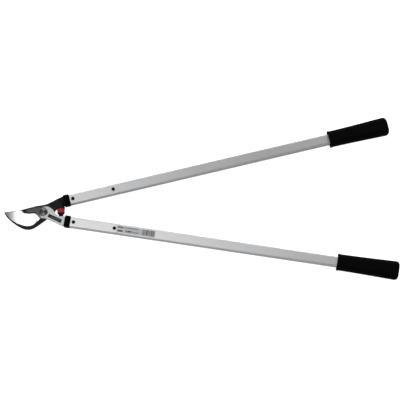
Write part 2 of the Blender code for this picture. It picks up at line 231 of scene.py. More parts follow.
def catmull_rom(rows: Sequence[Sequence[float]], steps: int) -> list[tuple[float, ...]]:
    """Rows of numbers made denser along smooth curves through them.

    Args:
        rows: The given rows, each of the same length.
        steps: New rows for each given span.

    Returns:
        The dense rows, from the first given row to the last.
    """
    dense: list[tuple[float, ...]] = []
    last = len(rows) - 1
    for k in range(last):
        a, b, c, d = rows[max(k - 1, 0)], rows[k], rows[k + 1], rows[min(k + 2, last)]
        for step in range(steps):
            t = step / steps
            dense.append(tuple(
                0.5 * (2 * q + (r - p) * t + (2 * p - 5 * q + 4 * r - s) * t * t
                       + (3 * q - p - 3 * r + s) * t ** 3)
                for p, q, r, s in zip(a, b, c, d)))
    dense.append(tuple(rows[last]))
    return dense


# ---------------------------------------------------------------- meshes


def mesh_from(work: bmesh.types.BMesh, name: str = "shape") -> bpy.types.Mesh:
    """Turns closed work into a mesh with outward faces, and frees the work.

    Args:
        work: The faces, with no doubles.
        name: The mesh's name.

    Returns:
        The mesh.
    """
    bmesh.ops.recalc_face_normals(work, faces=work.faces)
    mesh = bpy.data.meshes.new(name)
    work.to_mesh(mesh)
    work.free()
    return mesh


def evaluated_mesh(item: bpy.types.Object) -> bpy.types.Mesh:
    """The mesh that an object's modifiers make; the object is removed.

    Args:
        item: A curve or a mesh object.

    Returns:
        A plain mesh of its own.
    """
    bpy.context.view_layer.update()
    mesh = bpy.data.meshes.new_from_object(item.evaluated_get(bpy.context.evaluated_depsgraph_get()))
    bpy.data.objects.remove(item, do_unlink=True)
    return mesh


def scratch_object(data: bpy.types.ID) -> bpy.types.Object:
    """A linked object for a shape that is still being made.

    Args:
        data: Its mesh or curve.

    Returns:
        The object.
    """
    item = bpy.data.objects.new("scratch", data)
    bpy.context.scene.collection.objects.link(item)
    return item


def plate(outlines: Sequence[Sequence[Knot]], low: float, high: float, chamfer: float = 0.0,
          resolution: int = 12) -> bpy.types.Mesh:
    """A flat plate with chamfered edges.

    Args:
        outlines: The outer line first, then the holes.
        low: Height of the underside.
        high: Height of the top.
        chamfer: Width of the chamfer along every edge.
        resolution: Pieces in each smooth span.

    Returns:
        A closed mesh in millimetres.
    """
    curve = bpy.data.curves.new("plate", "CURVE")
    curve.dimensions = "2D"
    curve.fill_mode = "BOTH"
    curve.extrude = (high - low) / 2 - chamfer
    curve.bevel_depth = chamfer
    curve.bevel_resolution = 0
    curve.offset = -chamfer
    curve.resolution_u = resolution
    for outline in outlines:
        spline = curve.splines.new("BEZIER")
        spline.bezier_points.add(len(outline) - 1)
        spline.use_cyclic_u = True
        for knot, (x, y, corner) in zip(spline.bezier_points, outline):
            knot.co = (x, y, 0)
            knot.handle_left_type = knot.handle_right_type = "VECTOR" if corner else "AUTO"
    mesh = evaluated_mesh(scratch_object(curve))
    work = bmesh.new()
    work.from_mesh(mesh)
    bmesh.ops.remove_doubles(work, verts=work.verts, dist=0.003)
    bmesh.ops.translate(work, verts=work.verts, vec=(0, 0, (low + high) / 2))
    return mesh_from(work)


def lathe(profile: Sequence[Point], segments: int = 64) -> bpy.types.Mesh:
    """A turned shape about Z.

    Args:
        profile: (radius, height) points; a radius of 0 closes the shape on the axis, and a profile with
            no such end is a ring that closes on itself.
        segments: Steps round the axis.

    Returns:
        A closed mesh in millimetres.
    """
    work = bmesh.new()
    rows = []
    for radius, height in profile:
        if radius == 0:
            rows.append([work.verts.new((0, 0, height))])
            continue
        angles = [2 * math.pi * k / segments for k in range(segments)]
        rows.append([work.verts.new((radius * math.cos(a), radius * math.sin(a), height)) for a in angles])
    pairs = list(zip(rows, rows[1:]))
    if profile[0][0] > 0:
        pairs.append((rows[-1], rows[0]))
    for upper, lower in pairs:
        for k in range(segments):
            after = (k + 1) % segments
            corners = [upper[k % len(upper)], upper[after % len(upper)],
                       lower[after % len(lower)], lower[k % len(lower)]]
            work.faces.new(list(dict.fromkeys(corners)))
    return mesh_from(work)


def loft(rings: Sequence[Ring], closed: bool = False, shades: Sequence[int] = ()) -> bpy.types.Mesh:
    """A closed mesh through rings of equal point counts.

    Args:
        rings: The rings, in order.
        closed: Joins the last ring to the first; otherwise both ends get a flat cap.
        shades: Material index for the strip that starts at each ring point.

    Returns:
        A closed mesh in millimetres.
    """
    work = bmesh.new()
    rows = [[work.verts.new(point) for point in ring] for ring in rings]
    count = len(rows[0])
    pairs = list(zip(rows, rows[1:]))
    if closed:
        pairs.append((rows[-1], rows[0]))
    for first, second in pairs:
        for k in range(count):
            face = work.faces.new((first[k], first[(k + 1) % count], second[(k + 1) % count], second[k]))
            if shades:
                face.material_index = shades[k]
    if not closed:
        work.faces.new(reversed(rows[0]))
        work.faces.new(rows[-1])
    return mesh_from(work)


def box(low: Sequence[float], high: Sequence[float], chamfer: float = 0.0) -> bpy.types.Mesh:
    """A box with bevelled edges.

    Args:
        low: Its lowest corner.
        high: Its highest corner.
        chamfer: Width of the bevel; 0 leaves the edges sharp.

    Returns:
        A closed mesh in millimetres.
    """
    work = bmesh.new()
    bmesh.ops.create_cube(work, size=1.0)
    for vertex in work.verts:
        vertex.co = Vector([(a + b) / 2 + (b - a) * c for a, b, c in zip(low, high, vertex.co)])
    if chamfer:
        bmesh.ops.bevel(work, geom=work.edges[:], offset=chamfer, segments=3, profile=0.5, affect="EDGES")
    return mesh_from(work)


def combine(base: bpy.types.Mesh, tool: bpy.types.Mesh, operation: Operation) -> bpy.types.Mesh:
    """Combines two closed meshes.

    Args:
        base: The mesh that is changed.
        tool: What is cut off it, joined to it or shared with it.
        operation: Which of these.

    Returns:
        The result, with the materials of the base first.
    """
    tool_item = scratch_object(tool)
    item = scratch_object(base)
    change = item.modifiers.new("combine", "BOOLEAN")
    change.operation = operation.value
    change.solver = "EXACT"
    change.object = tool_item
    mesh = evaluated_mesh(item)
    bpy.data.objects.remove(tool_item, do_unlink=True)
    return mesh


def rod(radius: float, low: float, high: float, segments: int = 40) -> bpy.types.Mesh:
    """A plain cylinder along Z, used to drill holes."""
    return lathe(((0, high), (radius, high), (radius, low), (0, low)), segments)


def unwrap_along(mesh: bpy.types.Mesh) -> None:
    """Gives a long piece a UV map: U along X, V round it.

    Args:
        mesh: The piece's mesh, in its handle's axes.
    """
    layer = mesh.uv_layers.new(name="UVMap")
    for loop in mesh.loops:
        x, y, z = mesh.vertices[loop.vertex_index].co
        layer.data[loop.index].uv = (x * MM, math.atan2(z, y) / (2 * math.pi))


def turned_to(mesh: bpy.types.Mesh, matrix: Matrix) -> bpy.types.Mesh:
    """Sets a mesh in place within its design frame."""
    mesh.transform(matrix)
    return mesh


# ---------------------------------------------------------------- pieces


def piece(name: str, mesh: bpy.types.Mesh, place: Matrix, finishes: Sequence[bpy.types.Material], body: str,
          replaces: Sequence[str] = (), crease: float = 30.0) -> bpy.types.Object:
    """Makes a finished piece from a design mesh and ties it to the frame.

    Args:
        name: The piece's name.
        mesh: Its mesh, in millimetres.
        place: The design frame that the mesh is in.
        finishes: Its materials, in the order of the mesh's material indexes.
        body: The body that it moves with.
        replaces: The CAD nodes that it stands for.
        crease: Edges that turn by more than this many degrees stay sharp.

    Returns:
        The new object.
    """
    mesh.transform(place)
    mesh.name = name
    indexes = [face.material_index for face in mesh.polygons]
    mesh.materials.clear()
    for finish in finishes:
        mesh.materials.append(finish)
    mesh.polygons.foreach_set("material_index", indexes)
    mesh.shade_smooth()
    mesh.set_sharp_from_angle(angle=math.radians(crease))
    sharpen_between_finishes(mesh)
    item = bpy.data.objects.new(name, mesh)
    bpy.context.scene.collection.objects.link(item)
    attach(item, body)
    if replaces:
        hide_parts(*replaces)
    LOG.info("%s: %d faces on %s", name, len(mesh.polygons), body)
    return item


def sharpen_between_finishes(mesh: bpy.types.Mesh) -> None:
    """Keeps the line between two finishes crisp.

    Args:
        mesh: A mesh with its material indexes set.
    """
    work = bmesh.new()
    work.from_mesh(mesh)
    for edge in work.edges:
        if len({face.material_index for face in edge.link_faces}) > 1:
            edge.smooth = False
    work.to_mesh(mesh)
    work.free()


# ---------------------------------------------------------------- shader groups


@dataclass(frozen=True)
class Line:
    """A straight line in the blades' axes.

    Attributes:
        slope: How far it climbs for each unit of X.
        height: Its height over the pivot, in metres.
    """

    slope: float
    height: float


class Sheet:
    """A node tree with short ways to add and join nodes."""

    def __init__(self, tree: bpy.types.NodeTree) -> None:
        """Keeps the tree that is being drawn."""
        self.tree = tree

    def node(self, kind: str, inputs: dict[str | int, object] | None = None,
             **settings: object) -> bpy.types.Node:
        """Adds a node.

        Args:
            kind: The node's type name.
            inputs: Values or sockets for its inputs, by name or index.
            settings: Properties of the node itself.

        Returns:
            The new node.
        """
        made = self.tree.nodes.new(kind)
        for key, value in settings.items():
            setattr(made, key, value)
        for key, value in (inputs or {}).items():
            if isinstance(value, bpy.types.NodeSocket):
                self.tree.links.new(value, made.inputs[key])
            else:
                made.inputs[key].default_value = value
        return made

    def math(self, operation: str, first: object, second: object = 0.0) -> bpy.types.NodeSocket:
        """The result of one arithmetic step."""
        return self.node("ShaderNodeMath", {0: first, 1: second}, operation=operation).outputs[0]

    def mix(self, factor: object, first: object, second: object) -> bpy.types.NodeSocket:
        """A colour between two colours."""
        mixed = self.node("ShaderNodeMix", {0: factor, 6: first, 7: second}, data_type="RGBA")
        return mixed.outputs[2]

    def range(self, value: object, low: float, high: float, to_low: float = 0.0,
              to_high: float = 1.0) -> bpy.types.NodeSocket:
        """A value carried smoothly from one range to another."""
        inputs = {"Value": value, "From Min": low, "From Max": high, "To Min": to_low, "To Max": to_high}
        return self.node("ShaderNodeMapRange", inputs, interpolation_type="SMOOTHSTEP").outputs[0]

    def vector(self, operation: str, first: object, second: object) -> bpy.types.NodeSocket:
        """The result of one step on two vectors."""
        return self.node("ShaderNodeVectorMath", {0: first, 1: second}, operation=operation).outputs[0]

    def shaded(self, colour: object, factor: object) -> bpy.types.NodeSocket:
        """A colour times a factor."""
        inputs = {0: colour, "Scale": factor}
        return self.node("ShaderNodeVectorMath", inputs, operation="SCALE").outputs[0]

    def line(self, x: object, line: Line) -> bpy.types.NodeSocket:
        """The height of a straight line at x."""
        return self.math("ADD", self.math("MULTIPLY", x, line.slope), line.height)


def new_group(name: str, inputs: dict[str, tuple[str, object]],
              outputs: dict[str, str]) -> tuple[Sheet, bpy.types.Node]:
    """Starts a shader group.

    Args:
        name: The group's name.
        inputs: Socket type and first value for each input name.
        outputs: Socket type for each output name.

    Returns:
        Its sheet, and the node that holds its inputs.
    """
    tree = bpy.data.node_groups.new(name, "ShaderNodeTree")
    for label, (kind, value) in inputs.items():
        socket = tree.interface.new_socket(label, in_out="INPUT", socket_type=kind)
        if value is not None:
            socket.default_value = value
    for label, kind in outputs.items():
        tree.interface.new_socket(label, in_out="OUTPUT", socket_type=kind)
    sheet = Sheet(tree)
    return sheet, sheet.node("NodeGroupInput")


FLOAT, COLOUR, VECTOR = "NodeSocketFloat", "NodeSocketColor", "NodeSocketVector"


def grain_group() -> bpy.types.NodeTree:
    """Fine lines or specks: noise drawn out by a stretch.

    Returns:
        A group that puts out the noise as a height and as a shade round 1.
    """
    sheet, given = new_group("surface_grain", {
        "Vector": (VECTOR, None), "Stretch": (VECTOR, (1, 1, 1)), "Scale": (FLOAT, 800.0),
        "Shade": (FLOAT, 0.1)}, {"Height": FLOAT, "Shade": FLOAT})
    drawn = sheet.vector("MULTIPLY", given.outputs["Vector"], given.outputs["Stretch"])
    noise = sheet.node("ShaderNodeTexNoise", {"Vector": drawn, "Scale": given.outputs["Scale"],
                                              "Detail": 4.0, "Roughness": 0.6})
    centred = sheet.math("SUBTRACT", noise.outputs[0], 0.5)
    shade = sheet.math("ADD", sheet.math("MULTIPLY", centred, given.outputs["Shade"]), 1.0)
    sheet.node("NodeGroupOutput", {"Height": noise.outputs[0], "Shade": shade})
    return sheet.tree


def wear_group() -> bpy.types.NodeTree:
    """Paint or oxide worn through along edges, broken up by noise.

    Returns:
        A group that puts out the colour and a mask of what is worn.
    """
    sheet, given = new_group("edge_wear", {
        "Vector": (VECTOR, None), "Coat": (COLOUR, (0, 0, 0, 1)), "Bare": (COLOUR, (0.5, 0.5, 0.5, 1)),
        "Amount": (FLOAT, 0.5)}, {"Colour": COLOUR, "Mask": FLOAT})
    pointed = sheet.node("ShaderNodeNewGeometry").outputs["Pointiness"]
    ridge = sheet.range(pointed, 0.51, 0.6)
    noise = sheet.node("ShaderNodeTexNoise", {"Vector": given.outputs["Vector"], "Scale": 260.0,
                                              "Detail": 5.0})
    broken = sheet.range(noise.outputs[0], 0.42, 0.62)
    mask = sheet.math("MULTIPLY", sheet.math("MULTIPLY", ridge, broken), given.outputs["Amount"])
    colour = sheet.mix(mask, given.outputs["Coat"], given.outputs["Bare"])
    sheet.node("NodeGroupOutput", {"Colour": colour, "Mask": mask})
    return sheet.tree


def smudge_group() -> bpy.types.NodeTree:
    """Roughness that drifts in soft patches, as handling and oil leave it.

    Returns:
        A group that puts out the roughness.
    """
    sheet, given = new_group("handling_smudges", {
        "Vector": (VECTOR, None), "Scale": (FLOAT, 35.0), "Low": (FLOAT, 0.3), "High": (FLOAT, 0.4)},
        {"Roughness": FLOAT})
    noise = sheet.node("ShaderNodeTexNoise", {"Vector": given.outputs["Vector"],
                                              "Scale": given.outputs["Scale"],
                                              "Detail": 3.0, "Roughness": 0.55})
    span = sheet.math("SUBTRACT", given.outputs["High"], given.outputs["Low"])
    rough = sheet.math("ADD", sheet.math("MULTIPLY", noise.outputs[0], span), given.outputs["Low"])
    sheet.node("NodeGroupOutput", {"Roughness": rough})
    return sheet.tree


@dataclass(frozen=True)
class Groups:
    """The shader groups that the finishes share.

    Attributes:
        grain: Fine lines or specks.
        wear: Worn edges.
        smudge: Patches of roughness.
    """

    grain: bpy.types.NodeTree = field(default_factory=grain_group)
    wear: bpy.types.NodeTree = field(default_factory=wear_group)
    smudge: bpy.types.NodeTree = field(default_factory=smudge_group)


# ---------------------------------------------------------------- finishes


@dataclass(frozen=True)
class Finish:
    """A surface finish: a coat over grain, smudges and edge wear.

    Attributes:
        name: The material's name.
        colour: Base colour, linear.
        roughness: Lowest and highest roughness over the surface.
        metallic: 1 for bare metal, 0 for plastic and rubber.
        grain_scale: Noise scale of the grain, in cells per metre.
        stretch: How the grain is drawn out along the design axes.
        grain_turn: Turn of the grain about Z, in radians.
        grain_depth: Height of the grain as bump, in metres.
        grain_shade: How much the grain changes the colour.
        bare: Colour under the coat, where edges wear.
        wear: How much of an edge is worn.
        specular: Specular level.
        anisotropy: How far highlights are drawn out.
        tangent: What the drawn-out highlights follow: UV_MAP, or RADIAL for turned faces.
    """

    name: str
    colour: tuple[float, float, float]
    roughness: tuple[float, float]
    metallic: float = 0.0
    grain_scale: float = 900.0
    stretch: tuple[float, float, float] = (1.0, 1.0, 1.0)
    grain_turn: float = 0.0
    grain_depth: float = 0.00002
    grain_shade: float = 0.1
    bare: tuple[float, float, float] = (0.4, 0.4, 0.4)
    wear: float = 0.0
    specular: float = 0.5
    anisotropy: float = 0.0
    tangent: str = "UV_MAP"

    def start(self, groups: Groups) -> tuple[bpy.types.Material, Sheet, dict[str, bpy.types.NodeSocket]]:
        """Draws the shared part of the finish.

        Args:
            groups: The shader groups.

        Returns:
            The material, its sheet, and its position, colour, roughness, height and worn mask.
        """
        material = bpy.data.materials.new(self.name)
        material.use_nodes = True
        material.diffuse_color = (*self.colour, 1.0)
        sheet = Sheet(material.node_tree)
        position = sheet.node("ShaderNodeTexCoord").outputs["Object"]
        turned = sheet.node("ShaderNodeMapping", {"Vector": position, "Rotation": (0, 0, self.grain_turn)})
        grain = sheet.node("ShaderNodeGroup", node_tree=groups.grain)
        strengths = {"Stretch": self.stretch, "Scale": self.grain_scale, "Shade": self.grain_shade}
        for label, value in strengths.items():
            grain.inputs[label].default_value = value
        sheet.tree.links.new(turned.outputs[0], grain.inputs["Vector"])
        smudge = sheet.node("ShaderNodeGroup", node_tree=groups.smudge)
        for label, value in zip(("Low", "High"), self.roughness):
            smudge.inputs[label].default_value = value
        sheet.tree.links.new(position, smudge.inputs["Vector"])
        wear = sheet.node("ShaderNodeGroup", node_tree=groups.wear)
        wear.inputs["Coat"].default_value = (*self.colour, 1.0)
        wear.inputs["Bare"].default_value = (*self.bare, 1.0)
        wear.inputs["Amount"].default_value = self.wear
        sheet.tree.links.new(position, wear.inputs["Vector"])
        colour = sheet.shaded(wear.outputs["Colour"], grain.outputs["Shade"])
        parts = {"position": position, "colour": colour, "roughness": smudge.outputs["Roughness"],
                 "height": grain.outputs["Height"], "mask": wear.outputs["Mask"]}
        return material, sheet, parts

    def close(self, sheet: Sheet, parts: dict[str, bpy.types.NodeSocket]) -> None:
        """Joins the parts to the shader.

        Args:
            sheet: The material's sheet.
            parts: What start() made, as a subclass may have changed it.
        """
        shader = sheet.tree.nodes["Principled BSDF"]
        bump = sheet.node("ShaderNodeBump", {"Height": parts["height"], "Distance": self.grain_depth})
        sheet.tree.links.new(parts["colour"], shader.inputs["Base Color"])
        sheet.tree.links.new(parts["roughness"], shader.inputs["Roughness"])
        sheet.tree.links.new(bump.outputs["Normal"], shader.inputs["Normal"])
        if self.wear and not self.metallic:
            sheet.tree.links.new(parts["mask"], shader.inputs["Metallic"])
        else:
            shader.inputs["Metallic"].default_value = self.metallic
        shader.inputs["Specular IOR Level"].default_value = self.specular
        if self.anisotropy:
            shader.inputs["Anisotropic"].default_value = self.anisotropy
            shader.inputs["Anisotropic Rotation"].default_value = 0.25
            tangent = sheet.node("ShaderNodeTangent", direction_type=self.tangent, axis="Z")
            sheet.tree.links.new(tangent.outputs[0], shader.inputs["Tangent"])

    def build(self, groups: Groups) -> bpy.types.Material:
        """Makes the material.

        Args:
            groups: The shader groups.

        Returns:
            The material.
        """
        material, sheet, parts = self.start(groups)
        self.close(sheet, parts)
        return material


@dataclass(frozen=True)
class ForgedFinish(Finish):
    """Satin steel that keeps its dark forge scale between the grind line and the spine, with painted shade
    along both lines.

    Attributes:
        pivot: The pivot's place, in metres.
        scale_colour: Colour of the scale.
        edge_shade_colour: Colour of the painted shade along the spine and the grind line.
        scale_until: Where the scale ends towards the pivot, and where the satin is clean, in metres.
        scale_lean: How far that end moves along X for each unit of Y.
        scale_from: Where the scale starts to be lighter than the painted shade along its edges, in metres.
        rim: Width of the painted shade along the spine and the grind line, in metres.
        rim_until: Where the painted shade along the grind line fades out towards the hub, in metres.
        grind_line: Height of the grind line's straight part, from the pivot, in metres.
        bend_from: Where the grind line starts to climb towards the spine, along X, in metres.
        bend: How steeply it climbs, per metre.
        spine: The line along the spine.
        hub_top: Where the hub's upper edge lies over the pivot, in metres.
    """

    pivot: tuple[float, float, float] = (0.0, 0.0, 0.0)
    scale_colour: tuple[float, float, float] = (0.15, 0.155, 0.16)
    edge_shade_colour: tuple[float, float, float] = (0.03, 0.031, 0.033)
    scale_until: Point = (-0.0085, 0.0035)
    scale_lean: float = 0.4
    scale_from: Point = (-0.043, -0.034)
    rim: float = 0.006
    rim_until: Point = (-0.021, -0.015)
    grind_line: float = -0.0031
    bend_from: float = -0.034
    bend: float = 28.0
    spine: Line = Line(0.17, 0.0172)
    hub_top: float = 0.0148

    def build(self, groups: Groups) -> bpy.types.Material:
        """Makes the material with its dark scale and the painted shade along its edges.

        Args:
            groups: The shader groups.

        Returns:
            The material.
        """
        material, sheet, parts = self.start(groups)
        apart = sheet.vector("SUBTRACT", parts["position"], self.pivot)
        x, y, _ = sheet.node("ShaderNodeSeparateXYZ", {0: apart}).outputs
        beyond = sheet.math("MAXIMUM", sheet.math("SUBTRACT", self.bend_from, x), 0.0)
        climb = sheet.math("MULTIPLY", sheet.math("POWER", beyond, 2.0), self.bend)
        grind_line = sheet.math("ADD", climb, self.grind_line)
        # Painted shade: a darker band along the grind line and the spine, fading into the scale's own colour
        # inside.
        over_line = sheet.range(sheet.math("SUBTRACT", y, grind_line), 0.0, self.rim)
        over_line = sheet.math("MAXIMUM", over_line, sheet.range(x, *self.rim_until))
        spine = sheet.math("MINIMUM", sheet.line(x, self.spine), self.hub_top)
        under_spine = sheet.range(sheet.math("SUBTRACT", spine, y), 0.0, self.rim)
        between = sheet.math("MULTIPLY", over_line, under_spine)
        inside = sheet.math("MULTIPLY", between, sheet.range(x, *self.scale_from))
        scale = sheet.mix(inside, (*self.edge_shade_colour, 1.0), (*self.scale_colour, 1.0))
        across = sheet.math("SUBTRACT", x, sheet.math("MULTIPLY", y, self.scale_lean))
        clean = sheet.range(across, *self.scale_until)
        parts["colour"] = sheet.mix(clean, scale, parts["colour"])
        self.close(sheet, parts)
        return material


@dataclass(frozen=True)
class GroundFinish(Finish):
    """Ground steel with painted shade: darker towards the blade's tip, where its reflection fades, and along
    the spine.

    Attributes:
        pivot: The pivot's place, in metres.
        tip: Where the painted shade at the tip starts and where it has faded out, along X from the pivot, in
            metres.
        tip_shade: Colour factor of the painted shade at the tip.
        spine: The line along the spine in front of the grind line.
        spine_shade_width: Width of the painted shade along the spine, in metres.
        spine_shade: Colour factor of that painted shade.
    """

    pivot: tuple[float, float, float] = (0.0, 0.0, 0.0)
    tip: Point = (-0.091, -0.0515)
    tip_shade: float = 0.28
    spine: Line = Line(0.082, 0.0116)
    spine_shade_width: float = 0.0030
    spine_shade: float = 0.45

    def build(self, groups: Groups) -> bpy.types.Material:
        """Makes the material with its painted shade at the tip and along the spine.

        Args:
            groups: The shader groups.

        Returns:
            The material.
        """
        material, sheet, parts = self.start(groups)
        apart = sheet.vector("SUBTRACT", parts["position"], self.pivot)
        x, y, _ = sheet.node("ShaderNodeSeparateXYZ", {0: apart}).outputs
        # Painted shade: a darker band under the spine and a darker tip, standing for the fading reflection.
        depth = sheet.math("SUBTRACT", sheet.line(x, self.spine), y)
        rim = sheet.range(depth, 0.0, self.spine_shade_width, self.spine_shade, 1.0)
        shade = sheet.math("MULTIPLY", rim, sheet.range(x, *self.tip, self.tip_shade, 1.0))
        parts["colour"] = sheet.shaded(parts["colour"], shade)
        self.close(sheet, parts)
        return material


@dataclass(frozen=True)
class TurnedFinish(Finish):
    """Metal faced on a lathe.

    Attributes:
        axis: A point on the axis along Z that the rings run round, in metres.
        ring_pitch: Distance between the rings, in metres.
        ring_height: Height of the rings against the grain's.
    """

    axis: tuple[float, float, float] = (0.0, 0.0, 0.0)
    ring_pitch: float = 0.0006
    ring_height: float = 0.35

    def build(self, groups: Groups) -> bpy.types.Material:
        """Makes the material with its rings.

        Args:
            groups: The shader groups.

        Returns:
            The material.
        """
        material, sheet, parts = self.start(groups)
        flat = sheet.vector("MULTIPLY", sheet.vector("SUBTRACT", parts["position"], self.axis), (1, 1, 0))
        radius = sheet.node("ShaderNodeVectorMath", {0: flat}, operation="LENGTH").outputs["Value"]
        rings = sheet.math("SINE", sheet.math("MULTIPLY", radius, 2 * math.pi / self.ring_pitch))
        parts["height"] = sheet.math("ADD", sheet.math("MULTIPLY", rings, self.ring_height), parts["height"])
        self.close(sheet, parts)
        return material


class Palette:
    """Every material of the tool, built once."""

    def __init__(self, layout: Layout) -> None:
        """Builds every finish.

        Args:
            layout: Places in the frame, which some patterns run round or along.
        """
        self.groups = Groups()
        pivot = tuple(layout.pivot.translation)
        self.blades(pivot)
        self.hardware(pivot)
        self.mouldings()
        self.aluminium = {side: self.tube(side, layout.handles[side]) for side in Side}
        self.labels()

    def made(self, finish: Finish) -> bpy.types.Material:
        """Builds one finish."""
        return finish.build(self.groups)

    def blades(self, pivot: tuple[float, float, float]) -> None:
        """The finishes of the two forgings.

        Args:
            pivot: The pivot's place, in metres.
        """
        # The ground face carries painted shade at its tip and along its spine.
        self.polished = self.made(GroundFinish(
            "polished_ground_steel", (0.93, 0.93, 0.94), (0.27, 0.32), 1.0, grain_scale=500,
            stretch=(6, 1, 1), grain_turn=0.35, grain_depth=0.0000004, grain_shade=0.05, pivot=pivot))
        self.honed = self.made(Finish(
            "honed_edge_steel", (0.62, 0.63, 0.65), (0.22, 0.3), 1.0, grain_scale=1500, grain_depth=0.00001))
        self.satin = self.made(ForgedFinish(
            "satin_forged_steel", (0.84, 0.85, 0.86), (0.30, 0.40), 1.0, grain_scale=1100,
            stretch=(0.25, 1, 1), grain_turn=0.5, grain_shade=0.25, pivot=pivot))
        self.oxide = self.made(Finish(
            "black_oxide_steel", (0.006, 0.0055, 0.0052), (0.30, 0.44), grain_scale=1400,
            grain_depth=0.00003, bare=(0.10, 0.09, 0.085), wear=0.3, specular=0.25))

    def hardware(self, pivot: tuple[float, float, float]) -> None:
        """The finishes of the bolt, the stack under it and the fasteners.

        Args:
            pivot: The pivot's place, in metres.
        """
        self.turned = self.made(TurnedFinish(
            "turned_steel_rings", (0.20, 0.20, 0.205), (0.24, 0.32), 1.0, grain_depth=0.00001, axis=pivot,
            anisotropy=0.85, tangent="RADIAL"))
        self.plated = self.made(Finish(
            "plated_steel", (0.58, 0.58, 0.58), (0.25, 0.38), 1.0, grain_scale=1600))
        self.bronze = self.made(Finish("bush_bronze", (0.42, 0.27, 0.12), (0.3, 0.4), 1.0))
        self.fastener = self.made(Finish(
            "blackened_fastener", (0.003, 0.003, 0.003), (0.35, 0.5), grain_scale=1800,
            bare=(0.2, 0.2, 0.2), wear=0.1, specular=0.15))

    def mouldings(self) -> None:
        """The finishes of the collars, the grips and the cushion."""
        self.plastic = self.made(Finish(
            "moulded_black_plastic", (0.0014, 0.0014, 0.0016), (0.42, 0.55), grain_scale=2200,
            grain_depth=0.00005, specular=0.05))
        self.rubber = self.made(Finish(
            "grip_rubber", (0.0016, 0.0016, 0.0019), (0.6, 0.75), grain_scale=1500, grain_depth=0.00012,
            grain_shade=0.4, specular=0.06))
        self.red = self.made(Finish(
            "red_polyurethane", (0.47, 0.018, 0.03), (0.32, 0.45), grain_scale=700, grain_depth=0.00003,
            grain_shade=0.12, specular=0.45))

    def tube(self, side: Side, axes: Matrix) -> bpy.types.Material:
        """Anodised aluminium with its grain along one handle; the lower tube's colour is painted lighter for
        the light it catches.

        Args:
            side: Which handle.
            axes: The handle's axes.

        Returns:
            The material.
        """
        # Painted light: the lower tube is coloured lighter than the upper, though both are the same
        # aluminium.
        colour = (0.79, 0.80, 0.81) if side is Side.UPPER else (0.87, 0.88, 0.89)
        return self.made(Finish(
            f"anodised_aluminium_{side.value}", colour, (0.44, 0.50), 1.0, grain_scale=1800,
            stretch=(0.02, 1, 1), grain_turn=-axes.to_euler().z, grain_depth=0.00001, grain_shade=0.16,
            anisotropy=0.5))

    def labels(self) -> None:
        """The finishes of the labels and their print."""
        self.label = self.made(Finish(
            "label_black_gloss", (0.008, 0.008, 0.014), (0.25, 0.35), grain_depth=0.00001, specular=0.4))
        self.print_pale = self.made(Finish(
            "print_pale", (0.17, 0.18, 0.22), (0.4, 0.5), grain_depth=0.000005))
        self.film = self.made(Finish(
            "silver_film", (0.74, 0.75, 0.76), (0.30, 0.42), 0.9, grain_depth=0.000005, grain_shade=0.05))
        self.print_dark = self.made(Finish(
            "print_dark", (0.045, 0.045, 0.05), (0.5, 0.6), grain_depth=0.000005))


# ---------------------------------------------------------------- repeated pieces


